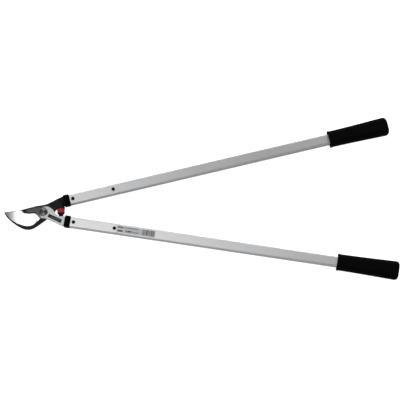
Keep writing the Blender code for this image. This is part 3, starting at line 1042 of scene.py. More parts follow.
class Scatter:
    """Geometry Nodes trees for what repeats: rivets on points, and printed bars along a line."""

    def __init__(self) -> None:
        """Builds both trees."""
        self.on_points = self.points_tree()
        self.bars = self.bars_tree()

    @staticmethod
    def begin(name: str, inputs: dict[str, str]) -> tuple[Sheet, bpy.types.bpy_prop_collection]:
        """Starts a tree.

        Args:
            name: The tree's name.
            inputs: Socket type for each input name.

        Returns:
            Its sheet, and the sockets that its inputs come from.
        """
        tree = bpy.data.node_groups.new(name, "GeometryNodeTree")
        tree.interface.new_socket("Geometry", in_out="OUTPUT", socket_type="NodeSocketGeometry")
        for label, kind in inputs.items():
            tree.interface.new_socket(label, in_out="INPUT", socket_type=kind)
        sheet = Sheet(tree)
        return sheet, sheet.node("NodeGroupInput").outputs

    @staticmethod
    def end(sheet: Sheet, copies: bpy.types.Node, material: bpy.types.NodeSocket) -> bpy.types.NodeTree:
        """Ends a tree: makes the copies real and gives them their material.

        Args:
            sheet: The tree's sheet.
            copies: The node that makes the copies.
            material: Where their material comes from.

        Returns:
            The tree.
        """
        real = sheet.node("GeometryNodeRealizeInstances", {0: copies.outputs[0]})
        painted = sheet.node("GeometryNodeSetMaterial", {"Geometry": real.outputs[0], "Material": material})
        sheet.node("NodeGroupOutput", {0: painted.outputs[0]})
        return sheet.tree

    def points_tree(self) -> bpy.types.NodeTree:
        """A copy of one shape on each point, with one material.

        Returns:
            The tree.
        """
        sheet, given = self.begin("copies_on_points", {
            "Points": "NodeSocketGeometry", "Shape": "NodeSocketObject", "Size": FLOAT,
            "Material": "NodeSocketMaterial"})
        shape = sheet.node("GeometryNodeObjectInfo", {"Object": given["Shape"]})
        copies = sheet.node("GeometryNodeInstanceOnPoints", {
            "Points": given["Points"], "Instance": shape.outputs["Geometry"], "Scale": given["Size"]})
        return self.end(sheet, copies, given["Material"])

    def bars_tree(self) -> bpy.types.NodeTree:
        """A row of upright bars of random widths along X.

        Returns:
            The tree.
        """
        sheet, given = self.begin("printed_bars", {
            "Count": "NodeSocketInt", "Pitch": FLOAT, "Narrow": FLOAT, "Wide": FLOAT, "Height": FLOAT,
            "Thickness": FLOAT, "Seed": "NodeSocketInt", "Material": "NodeSocketMaterial"})
        step = sheet.node("ShaderNodeCombineXYZ", {0: given["Pitch"]})
        line = sheet.node("GeometryNodeMeshLine", {"Count": given["Count"], "Offset": step.outputs[0]})
        width = sheet.node("FunctionNodeRandomValue", {
            2: given["Narrow"], 3: given["Wide"], 8: given["Seed"]}, data_type="FLOAT")
        size = sheet.node("ShaderNodeCombineXYZ", {
            0: width.outputs[1], 1: given["Height"], 2: given["Thickness"]})
        cube = sheet.node("GeometryNodeMeshCube")
        copies = sheet.node("GeometryNodeInstanceOnPoints", {
            "Points": line.outputs[0], "Instance": cube.outputs[0], "Scale": size.outputs[0]})
        return self.end(sheet, copies, given["Material"])

    @staticmethod
    def run(tree: bpy.types.NodeTree, start: bpy.types.Mesh, values: dict[str, object]) -> bpy.types.Mesh:
        """Runs a tree once.

        Args:
            tree: The tree.
            start: The mesh that it starts from.
            values: Its named inputs.

        Returns:
            A plain mesh.
        """
        item = scratch_object(start)
        change = item.modifiers.new("repeat", "NODES")
        change.node_group = tree
        sockets = {s.name: s.identifier for s in tree.interface.items_tree if s.in_out == "INPUT"}
        for label, value in values.items():
            change[sockets[label]] = value
        return evaluated_mesh(item)

    def copies(self, shape: bpy.types.Mesh, points: Sequence[Sequence[float]],
               material: bpy.types.Material) -> bpy.types.Mesh:
        """Copies a shape.

        Args:
            shape: What is copied.
            points: Where the copies stand.
            material: Their material.

        Returns:
            All copies as one plain mesh.
        """
        dots = bpy.data.meshes.new("points")
        dots.from_pydata([tuple(p) for p in points], [], [])
        model = scratch_object(shape)
        mesh = self.run(self.on_points, dots, {"Shape": model, "Size": 1.0, "Material": material})
        bpy.data.objects.remove(model, do_unlink=True)
        return mesh

    def row(self, row: "PrintRow", material: bpy.types.Material) -> bpy.types.Mesh:
        """One row of printed bars along X from the origin.

        Args:
            row: The row's sizes.
            material: The ink.

        Returns:
            A plain mesh in millimetres.
        """
        return self.run(self.bars, bpy.data.meshes.new("empty"), {
            "Count": row.count, "Pitch": row.pitch, "Narrow": row.narrow, "Wide": row.wide,
            "Height": row.height, "Thickness": row.thickness, "Seed": row.seed, "Material": material})


@dataclass(frozen=True)
class PrintRow:
    """A row of plain bars that stands for print.

    Attributes:
        start: Where the first bar stands, in the label's axes.
        count: Number of bars.
        pitch: Distance between them.
        narrow: Narrowest bar.
        wide: Widest bar.
        height: Height of the bars across the row.
        seed: Seed of the widths.
        thickness: How far the print stands proud, top and bottom together.
    """

    start: Point
    count: int
    pitch: float
    narrow: float
    wide: float
    height: float
    seed: int
    thickness: float = 0.06


# ---------------------------------------------------------------- the cutting blade


@dataclass
class Blades:
    """What the two forgings share: where they lie, and the tails of their tangs in the tubes.

    Attributes:
        layout: Places in the frame.
        palette: The materials.
        foot: Where both handles' lines cross, in the pivot's axes.
        half_spread: Angle between X and each handle's line, in radians.
        shoulder: Where a tang narrows in front of its tube, along the handle's line.
        tang_end: Where it ends inside the tube.
        tang_half: Half its width inside the tube.
        rivet_hole: Radius of its rivet holes.
    """

    layout: Layout
    palette: Palette
    foot: Point = (-72.65, 0.24)
    half_spread: float = math.radians(11.18)
    shoulder: float = 121.9
    tang_end: float = 246.0
    tang_half: float = 8.0
    rivet_hole: float = 3.1

    def on_handle(self, side: int, along: float, across: float) -> Point:
        """A point beside a handle's line.

        Args:
            side: 1 for the upper handle, -1 for the lower.
            along: Distance along the line.
            across: Distance to its left.

        Returns:
            The point in the pivot's axes.
        """
        angle = side * self.half_spread
        return (self.foot[0] + along * math.cos(angle) - across * math.sin(angle),
                self.foot[1] + along * math.sin(angle) + across * math.cos(angle))

    def tail(self, side: int, outer: float, inner: float) -> list[Knot]:
        """The tang's shoulder and its tail.

        Args:
            side: 1 for the upper handle, -1 for the lower.
            outer: Half width in front of the shoulder, on the tool's outer side.
            inner: The same on the inner side.

        Returns:
            Outline corners from the outer edge to the inner.
        """
        half = self.tang_half
        corners = ((self.shoulder, outer), (self.shoulder, half), (self.tang_end, half),
                   (self.tang_end, -half), (self.shoulder, -half), (self.shoulder, -inner))
        return hard(*(self.on_handle(side, along, side * across) for along, across in corners))

    def rivet_holes(self, side: int) -> list[list[Knot]]:
        """The two rivet holes in a tang."""
        return [circle(*self.on_handle(side, along, 0.0), self.rivet_hole) for along in RIVETS]


@dataclass
class CuttingBlade(Blades):
    """The wide blade with its polished ground face, satin hub and tang, and dark spine.

    Attributes:
        edge_height: Top of the cutting edge.
        honed_width: Width of the honed bevel along the edge.
        honed_share: The most of the face's width that the bevel may take.
        honed_rise: Height of the bevel.
        hollow: Depth of the hollow in the ground face.
        hollow_width: Width from which the face has its full hollow.
        face_steps: Strips across the ground face.
        cut_top: Top of what the grinder takes away.
        past_edge: How far it takes away beyond the edge.
        wall_lean: How far the wall over the shoulder leans for each unit of height.
        eye: Radius of the pivot hole.
        chamfer: Width of the edges' chamfer.
    """

    edge_height: float = 0.35
    honed_width: float = 1.4
    honed_share: float = 0.3
    honed_rise: float = 0.55
    hollow: float = 0.35
    hollow_width: float = 20.0
    face_steps: int = 8
    cut_top: float = 25.0
    past_edge: float = 5.0
    wall_lean: float = 0.5
    eye: float = 7.0
    chamfer: float = 0.45

    def outline(self) -> list[Knot]:
        """The blade seen from above.

        Returns:
            Its outline, from the tip along the cutting edge and back over the spine.
        """
        edge = soft((-84.3, -4.6), (-70.5, -18.0), (-53.0, -28.0), (-36.5, -31.5), (-24.5, -28.2),
                    (-15.3, -20.4))
        heel = hard((-9.0, -14.2)) + soft((2.1, -15.0)) + hard((8.2, -16.4))
        stop = hard((45.6, STOP_LEDGE), (33.9, STOP_LEDGE))
        hub = soft((31.0, -8.9), (26.6, -4.0), (24.4, 0.4), (20.3, 5.6), (14.8, 10.2), (9.1, 12.8),
                   (2.6, 14.0))
        spine = soft((-6.0, 14.6), (-19.6, 13.8), (-31.1, 11.9), (-42.8, 9.2), (-52.1, 7.4), (-70.0, 5.9))
        return hard((-91.5, 4.1)) + edge + heel + self.tail(-1, 12.4, 9.8) + stop + hub + spine

    def ground_cutter(self) -> bpy.types.Mesh:
        """What the grinder takes away: a slightly hollow wedge between the grind line and the edge.

        Each station gives the shoulder, its point on the edge and the height at the shoulder. Where the
        shoulder lies under the blade's top, a low leaning wall is left above it.

        Returns:
            A closed mesh, with a material index for each of its strips.
        """
        stations = ((-97.0, 6.8, -98.5, 1.2, 0.9), (-91.4, 6.2, -92.2, 2.6, 1.4),
                    (-83.4, 6.9, -86.5, -2.2, 2.45), (-69.5, 7.9, -76.0, -13.8, 4.05),
                    (-60.0, 8.8, -67.5, -20.2, 4.9), (-54.0, 8.4, -60.4, -24.6, 5.3),
                    (-47.0, 1.2, -51.0, -28.7, 4.95), (-40.0, -1.8, -43.5, -30.7, 5.25),
                    (-31.8, -3.2, -35.0, -31.4, 5.6), (-24.0, -3.2, -26.0, -29.0, 5.45),
                    (-18.6, -3.8, -19.5, -24.6, 4.9), (-13.5, -8.5, -14.8, -20.0, 3.3),
                    (-7.6, -14.6, -9.6, -19.0, 1.9))
        rings = []
        for x, y, edge_x, edge_y, height in catmull_rom(stations, 6):
            start, end = Vector((x, y)), Vector((edge_x, edge_y))
            width = (end - start).length
            along = (end - start) / width
            honed = min(self.honed_width, width * self.honed_share)
            break_height = min(self.edge_height + self.honed_rise, height)
            main = width - honed
            hollow = self.hollow * min(1.0, main / self.hollow_width)
            ring = []
            for k in range(self.face_steps + 1):
                t = k / self.face_steps
                dip = hollow * 4 * t * (1 - t)
                ring.append((*(start + along * main * t), height + (break_height - height) * t - dip))
            steep = (break_height - self.edge_height) / honed
            ring.append((*(end + along * self.past_edge), self.edge_height - steep * self.past_edge))
            ring.append((*(end + along * self.past_edge), self.cut_top))
            ring.append((*(start - along * (self.cut_top - height) * self.wall_lean), self.cut_top))
            rings.append(ring)
        satin, polished, honed_edge = range(3)
        return loft(rings, shades=[polished] * self.face_steps + [honed_edge, honed_edge, polished, satin])

    def build(self) -> None:
        """Makes the blade."""
        finishes = (self.palette.satin, self.palette.polished, self.palette.honed)
        holes = [circle(0, 0, self.eye), *self.rivet_holes(-1)]
        mesh = plate([self.outline(), *holes], *BLADE_HEIGHTS, self.chamfer)
        cutter = self.ground_cutter()
        for shape in (mesh, cutter):
            for finish in finishes:
                shape.materials.append(finish)
        mesh = combine(mesh, cutter, Operation.CUT)
        piece("blade_forging", mesh, self.layout.pivot, finishes, "blade_side",
              ("cutting_blade",), crease=24)


@dataclass(frozen=True)
class BumperSeat:
    """Where the bumper sits on the hook's tang, in the pivot's axes.

    Attributes:
        x: The bumper's axis along X.
        z: The height of its axis.
        lug: Where the lug's face lies along Y.
        pocket: Where the nut's pocket starts along Y.
        shank: Radius of the plunger.
    """

    x: float = 39.7
    z: float = 1.0
    lug: float = 6.6
    pocket: float = 19.4
    shank: float = 2.5

    @property
    def lie(self) -> Matrix:
        """Turns the Z axis to -Y, on the bumper's axis."""
        return Matrix.Translation((self.x, 0, self.z)) @ Matrix.Rotation(math.pi / 2, 4, "X")

    @property
    def bore(self) -> float:
        """Radius of the holes that the plunger slides in."""
        return self.shank + GAP


@dataclass
class HookBlade(Blades):
    """The hooked counter blade with its tang, the bumper's lug and the nut's pocket.

    Attributes:
        seat: Where the bumper sits.
        bolt_hole: Radius of the pivot hole.
        chamfer: Width of the edges' chamfer.
        lug_radius: Radius of the lug.
        lug_round: Width of the bevel round its ends.
        pocket_low: The pocket's lowest corner along X and Z.
        pocket_far: Its opposite corner along X and Y.
        pocket_round: Width of the bevel along its edges.
        open_top: A height well over the hook.
        bore_run: Where the plunger's bore starts and ends, along the bumper's axis.
        screw_top: Where the lock screw's blind hole ends.
    """

    seat: BumperSeat = BumperSeat()
    bolt_hole: float = 5.3
    chamfer: float = 0.7
    lug_radius: float = 7.0
    lug_round: float = 0.9
    pocket_low: Point = (34.8, -4.2)
    pocket_far: Point = (46.0, 28.2)
    pocket_round: float = 1.0
    open_top: float = 20.0
    bore_run: Point = (-30.0, -5.0)
    screw_top: float = -1.6

    def outline(self) -> list[Knot]:
        """The hook seen from above.

        Returns:
            Its outline, from the tip along the outer side and back up the throat.
        """
        outer = soft((-86.0, -5.1), (-78.4, -13.8), (-67.3, -23.7), (-56.1, -31.3), (-48.0, -35.6),
                     (-38.0, -38.0), (-27.6, -36.8), (-15.8, -30.8), (-4.0, -22.8), (7.5, -14.6),
                     (17.5, -6.0))
        face = self.seat.lug
        lug = hard((25.2, 1.6)) + soft((27.2, 4.4)) + hard((30.0, face), (48.0, face), (48.4, 14.0))
        back = soft((32.3, 31.9), (20.4, 26.1), (8.7, 20.9), (0.2, 18.7), (-8.0, 17.7), (-15.5, 16.9),
                    (-22.5, 14.9), (-24.0, 10.0))
        throat = soft((-17.5, 4.0), (-14.5, -6.0), (-16.0, -14.0), (-22.0, -21.0), (-29.5, -25.6),
                      (-38.0, -27.2), (-49.0, -24.6), (-62.0, -18.3), (-75.0, -9.0), (-84.5, -0.6))
        tail = list(reversed(self.tail(1, 13.4, 10.6)))
        return hard((-91.2, 3.0)) + outer + lug + tail + back + throat

    def lug(self) -> bpy.types.Mesh:
        """The round boss that the bumper sits against.

        Returns:
            A closed mesh in the pivot's axes.
        """
        near, far = -self.seat.lug - 0.1, 0.4 - self.seat.pocket
        flat = self.lug_radius - self.lug_round
        profile = [(0, near), (flat, near), (self.lug_radius, near - self.lug_round),
                   (self.lug_radius, far + self.lug_round), (flat, far), (0, far)]
        return turned_to(lathe(profile, 72), self.seat.lie)

    def build(self) -> None:
        """Makes the hook."""
        mesh = plate([self.outline(), circle(0, 0, self.bolt_hole), *self.rivet_holes(1)],
                     *HOOK_HEIGHTS, self.chamfer)
        mesh = combine(mesh, self.lug(), Operation.JOIN)
        pocket = box((self.pocket_low[0], self.seat.pocket, self.pocket_low[1]),
                     (*self.pocket_far, self.open_top), self.pocket_round)
        bore = turned_to(rod(self.seat.bore, *self.bore_run), self.seat.lie)
        screw = turned_to(rod(LOCK_SCREW_HOLE, -12.0, self.screw_top), Matrix.Translation((*LOCK_SCREW, 0)))
        for cutter in (pocket, bore, screw):
            mesh = combine(mesh, cutter, Operation.CUT)
        piece("hook_forging", mesh, self.layout.pivot, (self.palette.oxide,), "hook_side",
              ("hook_blade",))


# ---------------------------------------------------------------- pivot hardware


@dataclass
class Pivot:
    """The pivot bolt, and under the hook the lock plate, disc spring, nut and lock screw.

    Attributes:
        layout: Places in the frame.
        palette: The materials.
        shank: Radius of the bolt's shank.
        head: Radius of its head.
        head_low: Underside of its head.
        head_high: Top of its head.
        end: Its lower end.
        plate_high: Top of the lock plate.
        plate_depth: Thickness of the lock plate and its tab.
        plate_round: Radius of the plate round the bolt.
        plate_tip: Radius of the plate round the lock screw.
        tab_half: Half the width of the tab that holds the nut.
        spring_depth: Height of the disc spring.
        nut_depth: Height of the nut.
        nut_flats: Distance between its flats.
        screw_shank: Radius of the lock screw.
        screw_head: Radius of its head.
        screw_top: Its upper end.
    """

    layout: Layout
    palette: Palette
    shank: float = 5.0
    head: float = 9.35
    head_low: float = 5.95
    head_high: float = 8.95
    end: float = -15.0
    plate_high: float = -6.45
    plate_depth: float = 1.2
    plate_round: float = 10.6
    plate_tip: float = 5.0
    tab_half: float = 3.5
    spring_depth: float = 1.4
    nut_depth: float = 4.6
    nut_flats: float = 17.0
    screw_shank: float = 1.6
    screw_head: float = 3.0
    screw_top: float = -2.0

    @property
    def plate_low(self) -> float:
        """Underside of the lock plate."""
        return self.plate_high - self.plate_depth

    @property
    def nut_high(self) -> float:
        """Top of the nut, under the disc spring."""
        return self.plate_low - GAP - self.spring_depth - GAP

    @property
    def nut_low(self) -> float:
        """Underside of the nut."""
        return self.nut_high - self.nut_depth

    def bolt(self) -> None:
        """The bolt: a flat turned head with a dimple, a chamfer and a shank with a chamfered end."""
        top = self.head_high
        groove = [(r, top - d) for r, d in ((6.4, 0.0), (6.2, 0.12), (5.9, 0.12), (5.7, 0.0))]
        profile = [(0, top - 0.25), (0.9, top - 0.2), (1.3, top), *reversed(groove), (self.head - 0.9, top),
                   (self.head - 0.35, top - 0.25), (self.head, top - 0.9), (self.head, self.head_low + 0.3),
                   (self.head - 0.3, self.head_low), (self.shank, self.head_low),
                   (self.shank, self.end + 0.6), (self.shank - 0.6, self.end), (0, self.end)]
        piece("pivot_bolt_turned", lathe(profile, 96), self.layout.pivot, (self.palette.turned,),
              "hook_side", ("pivot_bolt",), crease=20)

    def lock_plate(self) -> None:
        """The plate under the hook, with a tab that is bent down over one flat of the nut."""
        distance, direction = math.hypot(*LOCK_SCREW), math.atan2(LOCK_SCREW[1], LOCK_SCREW[0])
        outline = paddle(self.plate_round, self.plate_tip, distance, direction)
        holes = [circle(0, 0, self.shank + GAP), circle(*LOCK_SCREW, LOCK_SCREW_HOLE)]
        flat = self.nut_flats / 2 + GAP
        tab = box((-flat - self.plate_depth, -self.tab_half, self.nut_low + 1.5),
                  (-flat, self.tab_half, self.plate_low + 0.4), 0.3)
        mesh = combine(plate([outline, *holes], self.plate_low, self.plate_high, 0.15), tab, Operation.JOIN)
        piece("lock_plate_pressed", mesh, self.layout.pivot, (self.palette.oxide,), "hook_side",
              ("nut_lock_plate",))

    def nut(self) -> None:
        """The hexagon nut, with its lower corners turned off by a cone."""
        low, high = self.nut_low, self.nut_high
        outline = polygon(6, self.nut_flats, math.pi / 6)
        mesh = plate([outline, circle(0, 0, self.shank + GAP)], low, high, 0.25)
        inner, outer = self.nut_flats / 2 - 0.2, self.nut_flats / 2 + 3
        cone = lathe(((0, high + 1), (outer, high + 1), (outer, low + 2), (inner, low), (0, low)), 64)
        piece("pivot_nut_chamfered", combine(mesh, cone, Operation.SHARE), self.layout.pivot,
              (self.palette.plated,), "hook_side", ("pivot_nut",))

    def lock_screw(self) -> None:
        """The slotted screw that holds the lock plate."""
        seat = self.plate_low - GAP
        profile = [(0, self.screw_top), (self.screw_shank, self.screw_top), (self.screw_shank, seat),
                   (self.screw_head, seat), (self.screw_head, seat - 1.3), (2.5, seat - 2.1), (0, seat - 2.1)]
        slot = box((-4, -0.35, seat - 3), (4, 0.35, seat - 1.3))
        mesh = combine(lathe(profile, 40), slot, Operation.CUT)
        piece("lock_screw_slotted", turned_to(mesh, Matrix.Translation((*LOCK_SCREW, 0))),
              self.layout.pivot, (self.palette.plated,), "hook_side", ("lock_screw",))

    def build(self) -> None:
        """Makes the bolt and everything under it."""
        self.bolt()
        self.lock_plate()
        self.nut()
        self.lock_screw()
        dress("disc_spring", self.palette.plated)
        dress("pivot_bush", self.palette.bronze)


def dress(node: str, material: bpy.types.Material) -> None:
    """Gives a CAD node that stays visible its finish.

    Args:
        node: The node's name.
        material: Its finish.
    """
    slots = frame["nodes"][node].data.materials
    slots.clear()
    slots.append(material)


# ---------------------------------------------------------------- the bumper


@dataclass
class Bumper:
    """The stop between the tangs: a red cushion on a plunger bolt that is held by a nut in its pocket.

    Attributes:
        layout: Places in the frame.
        palette: The materials.
        seat: Where it sits on the hook's tang.
        low: Where the cushion meets the plunger's flange, along Y.
        radius: Radius of the cushion.
        head: Radius of the plunger's foot.
        flange: Radius of the flange over it, whose black also stands for the shade at the cushion's end.
        flange_depth: Thickness of the flange.
        shank_end: How far the plunger reaches into the tang.
        nut_flats: Distance between the flats of its nut.
        nut_depth: Height of the nut.
    """

    layout: Layout
    palette: Palette
    seat: BumperSeat = BumperSeat()
    low: float = -4.0
    radius: float = 8.5
    head: float = 5.2
    flange: float = 7.8
    flange_depth: float = 1.3
    shank_end: float = 24.8
    nut_flats: float = 8.0
    nut_depth: float = 4.0

    def cushion(self) -> None:
        """The cushion, which is squeezed along the plunger's travel."""
        top, low, radius = -(self.seat.lug - GAP), -self.low, self.radius
        middle = (top + low) / 2
        profile = [(radius - 1.0, low), (radius - 0.5, low - 0.25), (radius - 0.15, low - 0.7),
                   (radius, low - 1.4), (radius - 0.12, middle), (radius, top + 1.4),
                   (radius - 0.15, top + 0.7), (radius - 0.9, top), (self.seat.bore, top),
                   (self.seat.bore, low)]
        item = piece("cushion_moulded", turned_to(lathe(profile, 72), self.seat.lie), self.layout.pivot,
                     (self.palette.red,), "hook_side", ("bumper_cushion",))
        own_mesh(item)

    def plunger(self) -> None:
        """The plunger: a foot with a flange, and a shank that slides in the lug; the black flange is part of
        the plunger and also stands for the shade at the cushion's end.
        """
        foot, high = -STOP_LEDGE - GAP, -self.low + GAP
        under, shank = high + self.flange_depth, self.seat.shank
        # Painted shade: the black flange under the cushion also stands for the shade at the cushion's end.
        profile = [(0, foot), (self.head - 1.0, foot), (self.head - 0.3, foot - 0.3),
                   (self.head, foot - 1.0), (self.head, under), (self.flange - 0.3, under),
                   (self.flange, under - 0.3), (self.flange, high), (shank, high),
                   (shank, 0.5 - self.shank_end), (shank - 0.5, -self.shank_end), (0, -self.shank_end)]
        piece("plunger_turned", turned_to(lathe(profile, 48), self.seat.lie), self.layout.pivot,
              (self.palette.fastener,), "plunger", ("bumper_plunger",))

    def nut(self) -> None:
        """The plunger's nut, in the pocket of the hook's tang."""
        near = self.seat.pocket + GAP
        outlines = [polygon(6, self.nut_flats), circle(0, 0, self.seat.bore)]
        mesh = plate(outlines, -near - self.nut_depth, -near, 0.3)
        piece("plunger_nut_chamfered", turned_to(mesh, self.seat.lie), self.layout.pivot,
              (self.palette.fastener,), "plunger", ("plunger_nut",))

    def build(self) -> None:
        """Makes the cushion, the plunger and its nut."""
        self.cushion()
        self.plunger()
        self.nut()


# ---------------------------------------------------------------- handles


@dataclass
class Handle:
    """One handle: tube, moulded collar with its sleeve, two rivets and the grip.

    Attributes:
        side: Which handle.
        layout: Places in the frame.
        palette: The materials.
        scatter: The trees that copy the rivets.
        tang: Underside and top of the tang that it holds.
        tube_start: Where the tube starts, along the handle's line.
        tube_end: Where it ends inside the grip.
        width: Width of the tube.
        depth: Depth of the tube.
        corner: Radius of its outer corners.
        wall: Thickness of its wall.
        end_chamfer: Width of the chamfer round its ends.
        collar_start: Where the collar starts.
        collar_width: Width of the collar.
        collar_depth: Depth of the collar.
        collar_offset: How far the collar's middle lies off the handle's line.
        sleeve_end: Where the collar's sleeve ends inside the tube.
        slot_half: Half the width of the slot for the tang.
        rivet_hole: Radius of the rivet holes.
        rivet_shank: Radius of the rivets.
        rivet_head: Radius of their heads.
        rivet_rise: Height of their heads.
        rivet_rim: Height of the straight rim round their heads.
        grip_start: Where the grip starts.
        grip_half_depth: Half the grip's depth.
        grip_corner: Radius of the grip's long edges.
        grip_end: Length of the grip's rounded end.
        grip_narrowing: How much half the width shrinks over that end.
        grip_thinning: How much half the depth shrinks over it.
    """

    side: Side
    layout: Layout
    palette: Palette
    scatter: Scatter
    tang: Point
    tube_start: float = 136.0
    tube_end: float = 881.0
    width: float = 23.4
    depth: float = 18.0
    corner: float = 3.0
    wall: float = 1.6
    end_chamfer: float = 0.5
    collar_start: float = 122.2
    collar_width: float = 25.8
    collar_depth: float = 21.0
    collar_offset: float = 0.6
    sleeve_end: float = 250.0
    slot_half: float = 8.3
    rivet_hole: float = 3.1
    rivet_shank: float = 2.8
    rivet_head: float = 4.1
    rivet_rise: float = 1.5
    rivet_rim: float = 0.35
    grip_start: float = 753.0
    grip_half_depth: float = 14.99
    grip_corner: float = 11.0
    grip_end: float = 9.8
    grip_narrowing: float = 7.2
    grip_thinning: float = 3.3

    @property
    def place(self) -> Matrix:
        """The handle's own design frame."""
        return self.layout.handles[self.side]

    @property
    def name(self) -> str:
        """The handle's name in the frame."""
        return self.side.value

    @staticmethod
    def ring(along: float, section: Iterable[Point]) -> Ring:
        """A section set across the handle."""
        return [(along, y, z) for y, z in section]

    def section(self, inset: float) -> list[Point]:
        """The tube's section, made smaller all round by an inset."""
        return rounded_rectangle(self.width - 2 * inset, self.depth - 2 * inset, self.corner - inset)

    def drilled(self, mesh: bpy.types.Mesh) -> bpy.types.Mesh:
        """Drills the two rivet holes.

        Args:
            mesh: A closed mesh in the handle's axes.

        Returns:
            The mesh with its holes.
        """
        for along in RIVETS:
            drill = turned_to(rod(self.rivet_hole, -20, 20), Matrix.Translation((along, 0, 0)))
            mesh = combine(mesh, drill, Operation.CUT)
        return mesh

    def tube(self) -> None:
        """The extruded tube with its chamfered ends."""
        inner, outer, bare = (self.section(inset) for inset in (self.wall, 0.0, self.end_chamfer))
        rings = [self.ring(self.tube_start, inner), self.ring(self.tube_start, bare),
                 self.ring(self.tube_start + self.end_chamfer, outer),
                 self.ring(self.tube_end - self.end_chamfer, outer),
                 self.ring(self.tube_end, bare), self.ring(self.tube_end, inner)]
        mesh = self.drilled(loft(rings, closed=True))
        unwrap_along(mesh)
        piece(f"{self.name}_tube_extrusion", mesh, self.place, (self.palette.aluminium[self.side],),
              self.side.body, (f"{self.name}_handle_tube",))

    def collar(self) -> None:
        """The moulded collar with rounded edges and a groove, and its sleeve inside the tube."""
        start, end = self.collar_start, self.tube_start - GAP
        levels = ((start, 1.6), (start + 0.35, 0.7), (start + 1.2, 0.1), (start + 2.4, 0.0),
                  (end - 3.4, 0.0), (end - 3.1, 0.45), (end - 2.5, 0.45), (end - 2.2, 0.0),
                  (end - 0.7, 0.0), (end - 0.15, 0.35), (end, 0.8))
        rings = [self.ring(along, rounded_rectangle(self.collar_width - 2 * inset,
                                                    self.collar_depth - 2 * inset, 3.0 - inset * 0.6,
                                                    offset=self.collar_offset))
                 for along, inset in levels]
        spare = 2 * (self.wall + GAP)
        section = rounded_rectangle(self.width - spare, self.depth - spare, self.corner - self.wall)
        sleeve = loft([self.ring(self.tube_start - 4.0, section), self.ring(self.sleeve_end, section)])
        mesh = combine(loft(rings), sleeve, Operation.JOIN)
        slot = box((start - 5, -self.slot_half, self.tang[0] - GAP),
                   (self.sleeve_end + 5, self.slot_half, self.tang[1] + GAP))
        mesh = self.drilled(combine(mesh, slot, Operation.CUT))
        piece(f"{self.name}_collar_moulded", mesh, self.place, (self.palette.plastic,), self.side.body,
              (f"{self.name}_collar",), crease=40)

    def rivet_pair(self) -> None:
        """Both rivets, as copies of one turned shape."""
        face, head, rim = self.depth / 2 + GAP, self.rivet_head, self.rivet_rim
        angles = [math.pi / 2 * k / 8 for k in range(1, 9)]
        dome = [(head * math.sin(angle), face + rim + (self.rivet_rise - rim) * math.cos(angle))
                for angle in angles]
        upper = [(0, face + self.rivet_rise), *dome, (head - 0.1, face), (self.rivet_shank, face)]
        lower = [(radius, -height) for radius, height in reversed(upper)]
        shape = lathe(upper + lower, 40)
        mesh = self.scatter.copies(shape, [(along, 0, 0) for along in RIVETS], self.palette.fastener)
        nodes = tuple(f"{self.name}_{place}_rivet" for place in ("front", "rear"))
        piece(f"{self.name}_rivets_domed", mesh, self.place, (self.palette.fastener,), self.side.body,
              nodes)

    def grip_ring(self, along: float, half: float, half_depth: float) -> Ring:
        """The grip's section at one place along it."""
        return self.ring(along, rounded_rectangle(2 * half, 2 * half_depth, self.grip_corner, 12))

    def grip(self) -> None:
        """The grip: a lip at the front, a long swell, and a rounded end."""
        swell = ((757.9, 18.15), (770.0, 18.2), (800.0, 18.65), (825.0, 19.25), (850.0, 19.9), (884.8, 20.9))
        lip = ((self.grip_start, 18.2), (753.3, 18.8), (754.0, 19.15), (755.2, 19.2), (756.3, 19.1),
               (757.0, 18.6))
        rings = [self.grip_ring(along, half, self.grip_half_depth)
                 for along, half in (*lip, *catmull_rom(swell, 6))]
        end_start, end_half = swell[-1]
        for k in range(1, 9):
            angle = math.pi / 2 * k / 9
            drop = 1 - math.cos(angle)
            rings.append(self.grip_ring(end_start + self.grip_end * math.sin(angle),
                                        end_half - self.grip_narrowing * drop ** 1.2,
                                        self.grip_half_depth - self.grip_thinning * drop))
        section = rounded_rectangle(self.width + 2 * GAP, self.depth + 2 * GAP, self.corner + GAP)
        bore = loft([self.ring(self.grip_start - 5.0, section), self.ring(self.tube_end + GAP, section)])
        mesh = combine(loft(rings), bore, Operation.CUT)
        piece(f"{self.name}_grip_moulded", mesh, self.place, (self.palette.rubber,), self.side.body,
              (f"{self.name}_grip",))

    def build(self) -> None:
        """Makes the whole handle."""
        self.tube()
        self.collar()
        self.rivet_pair()
        self.grip()


# ---------------------------------------------------------------- labels


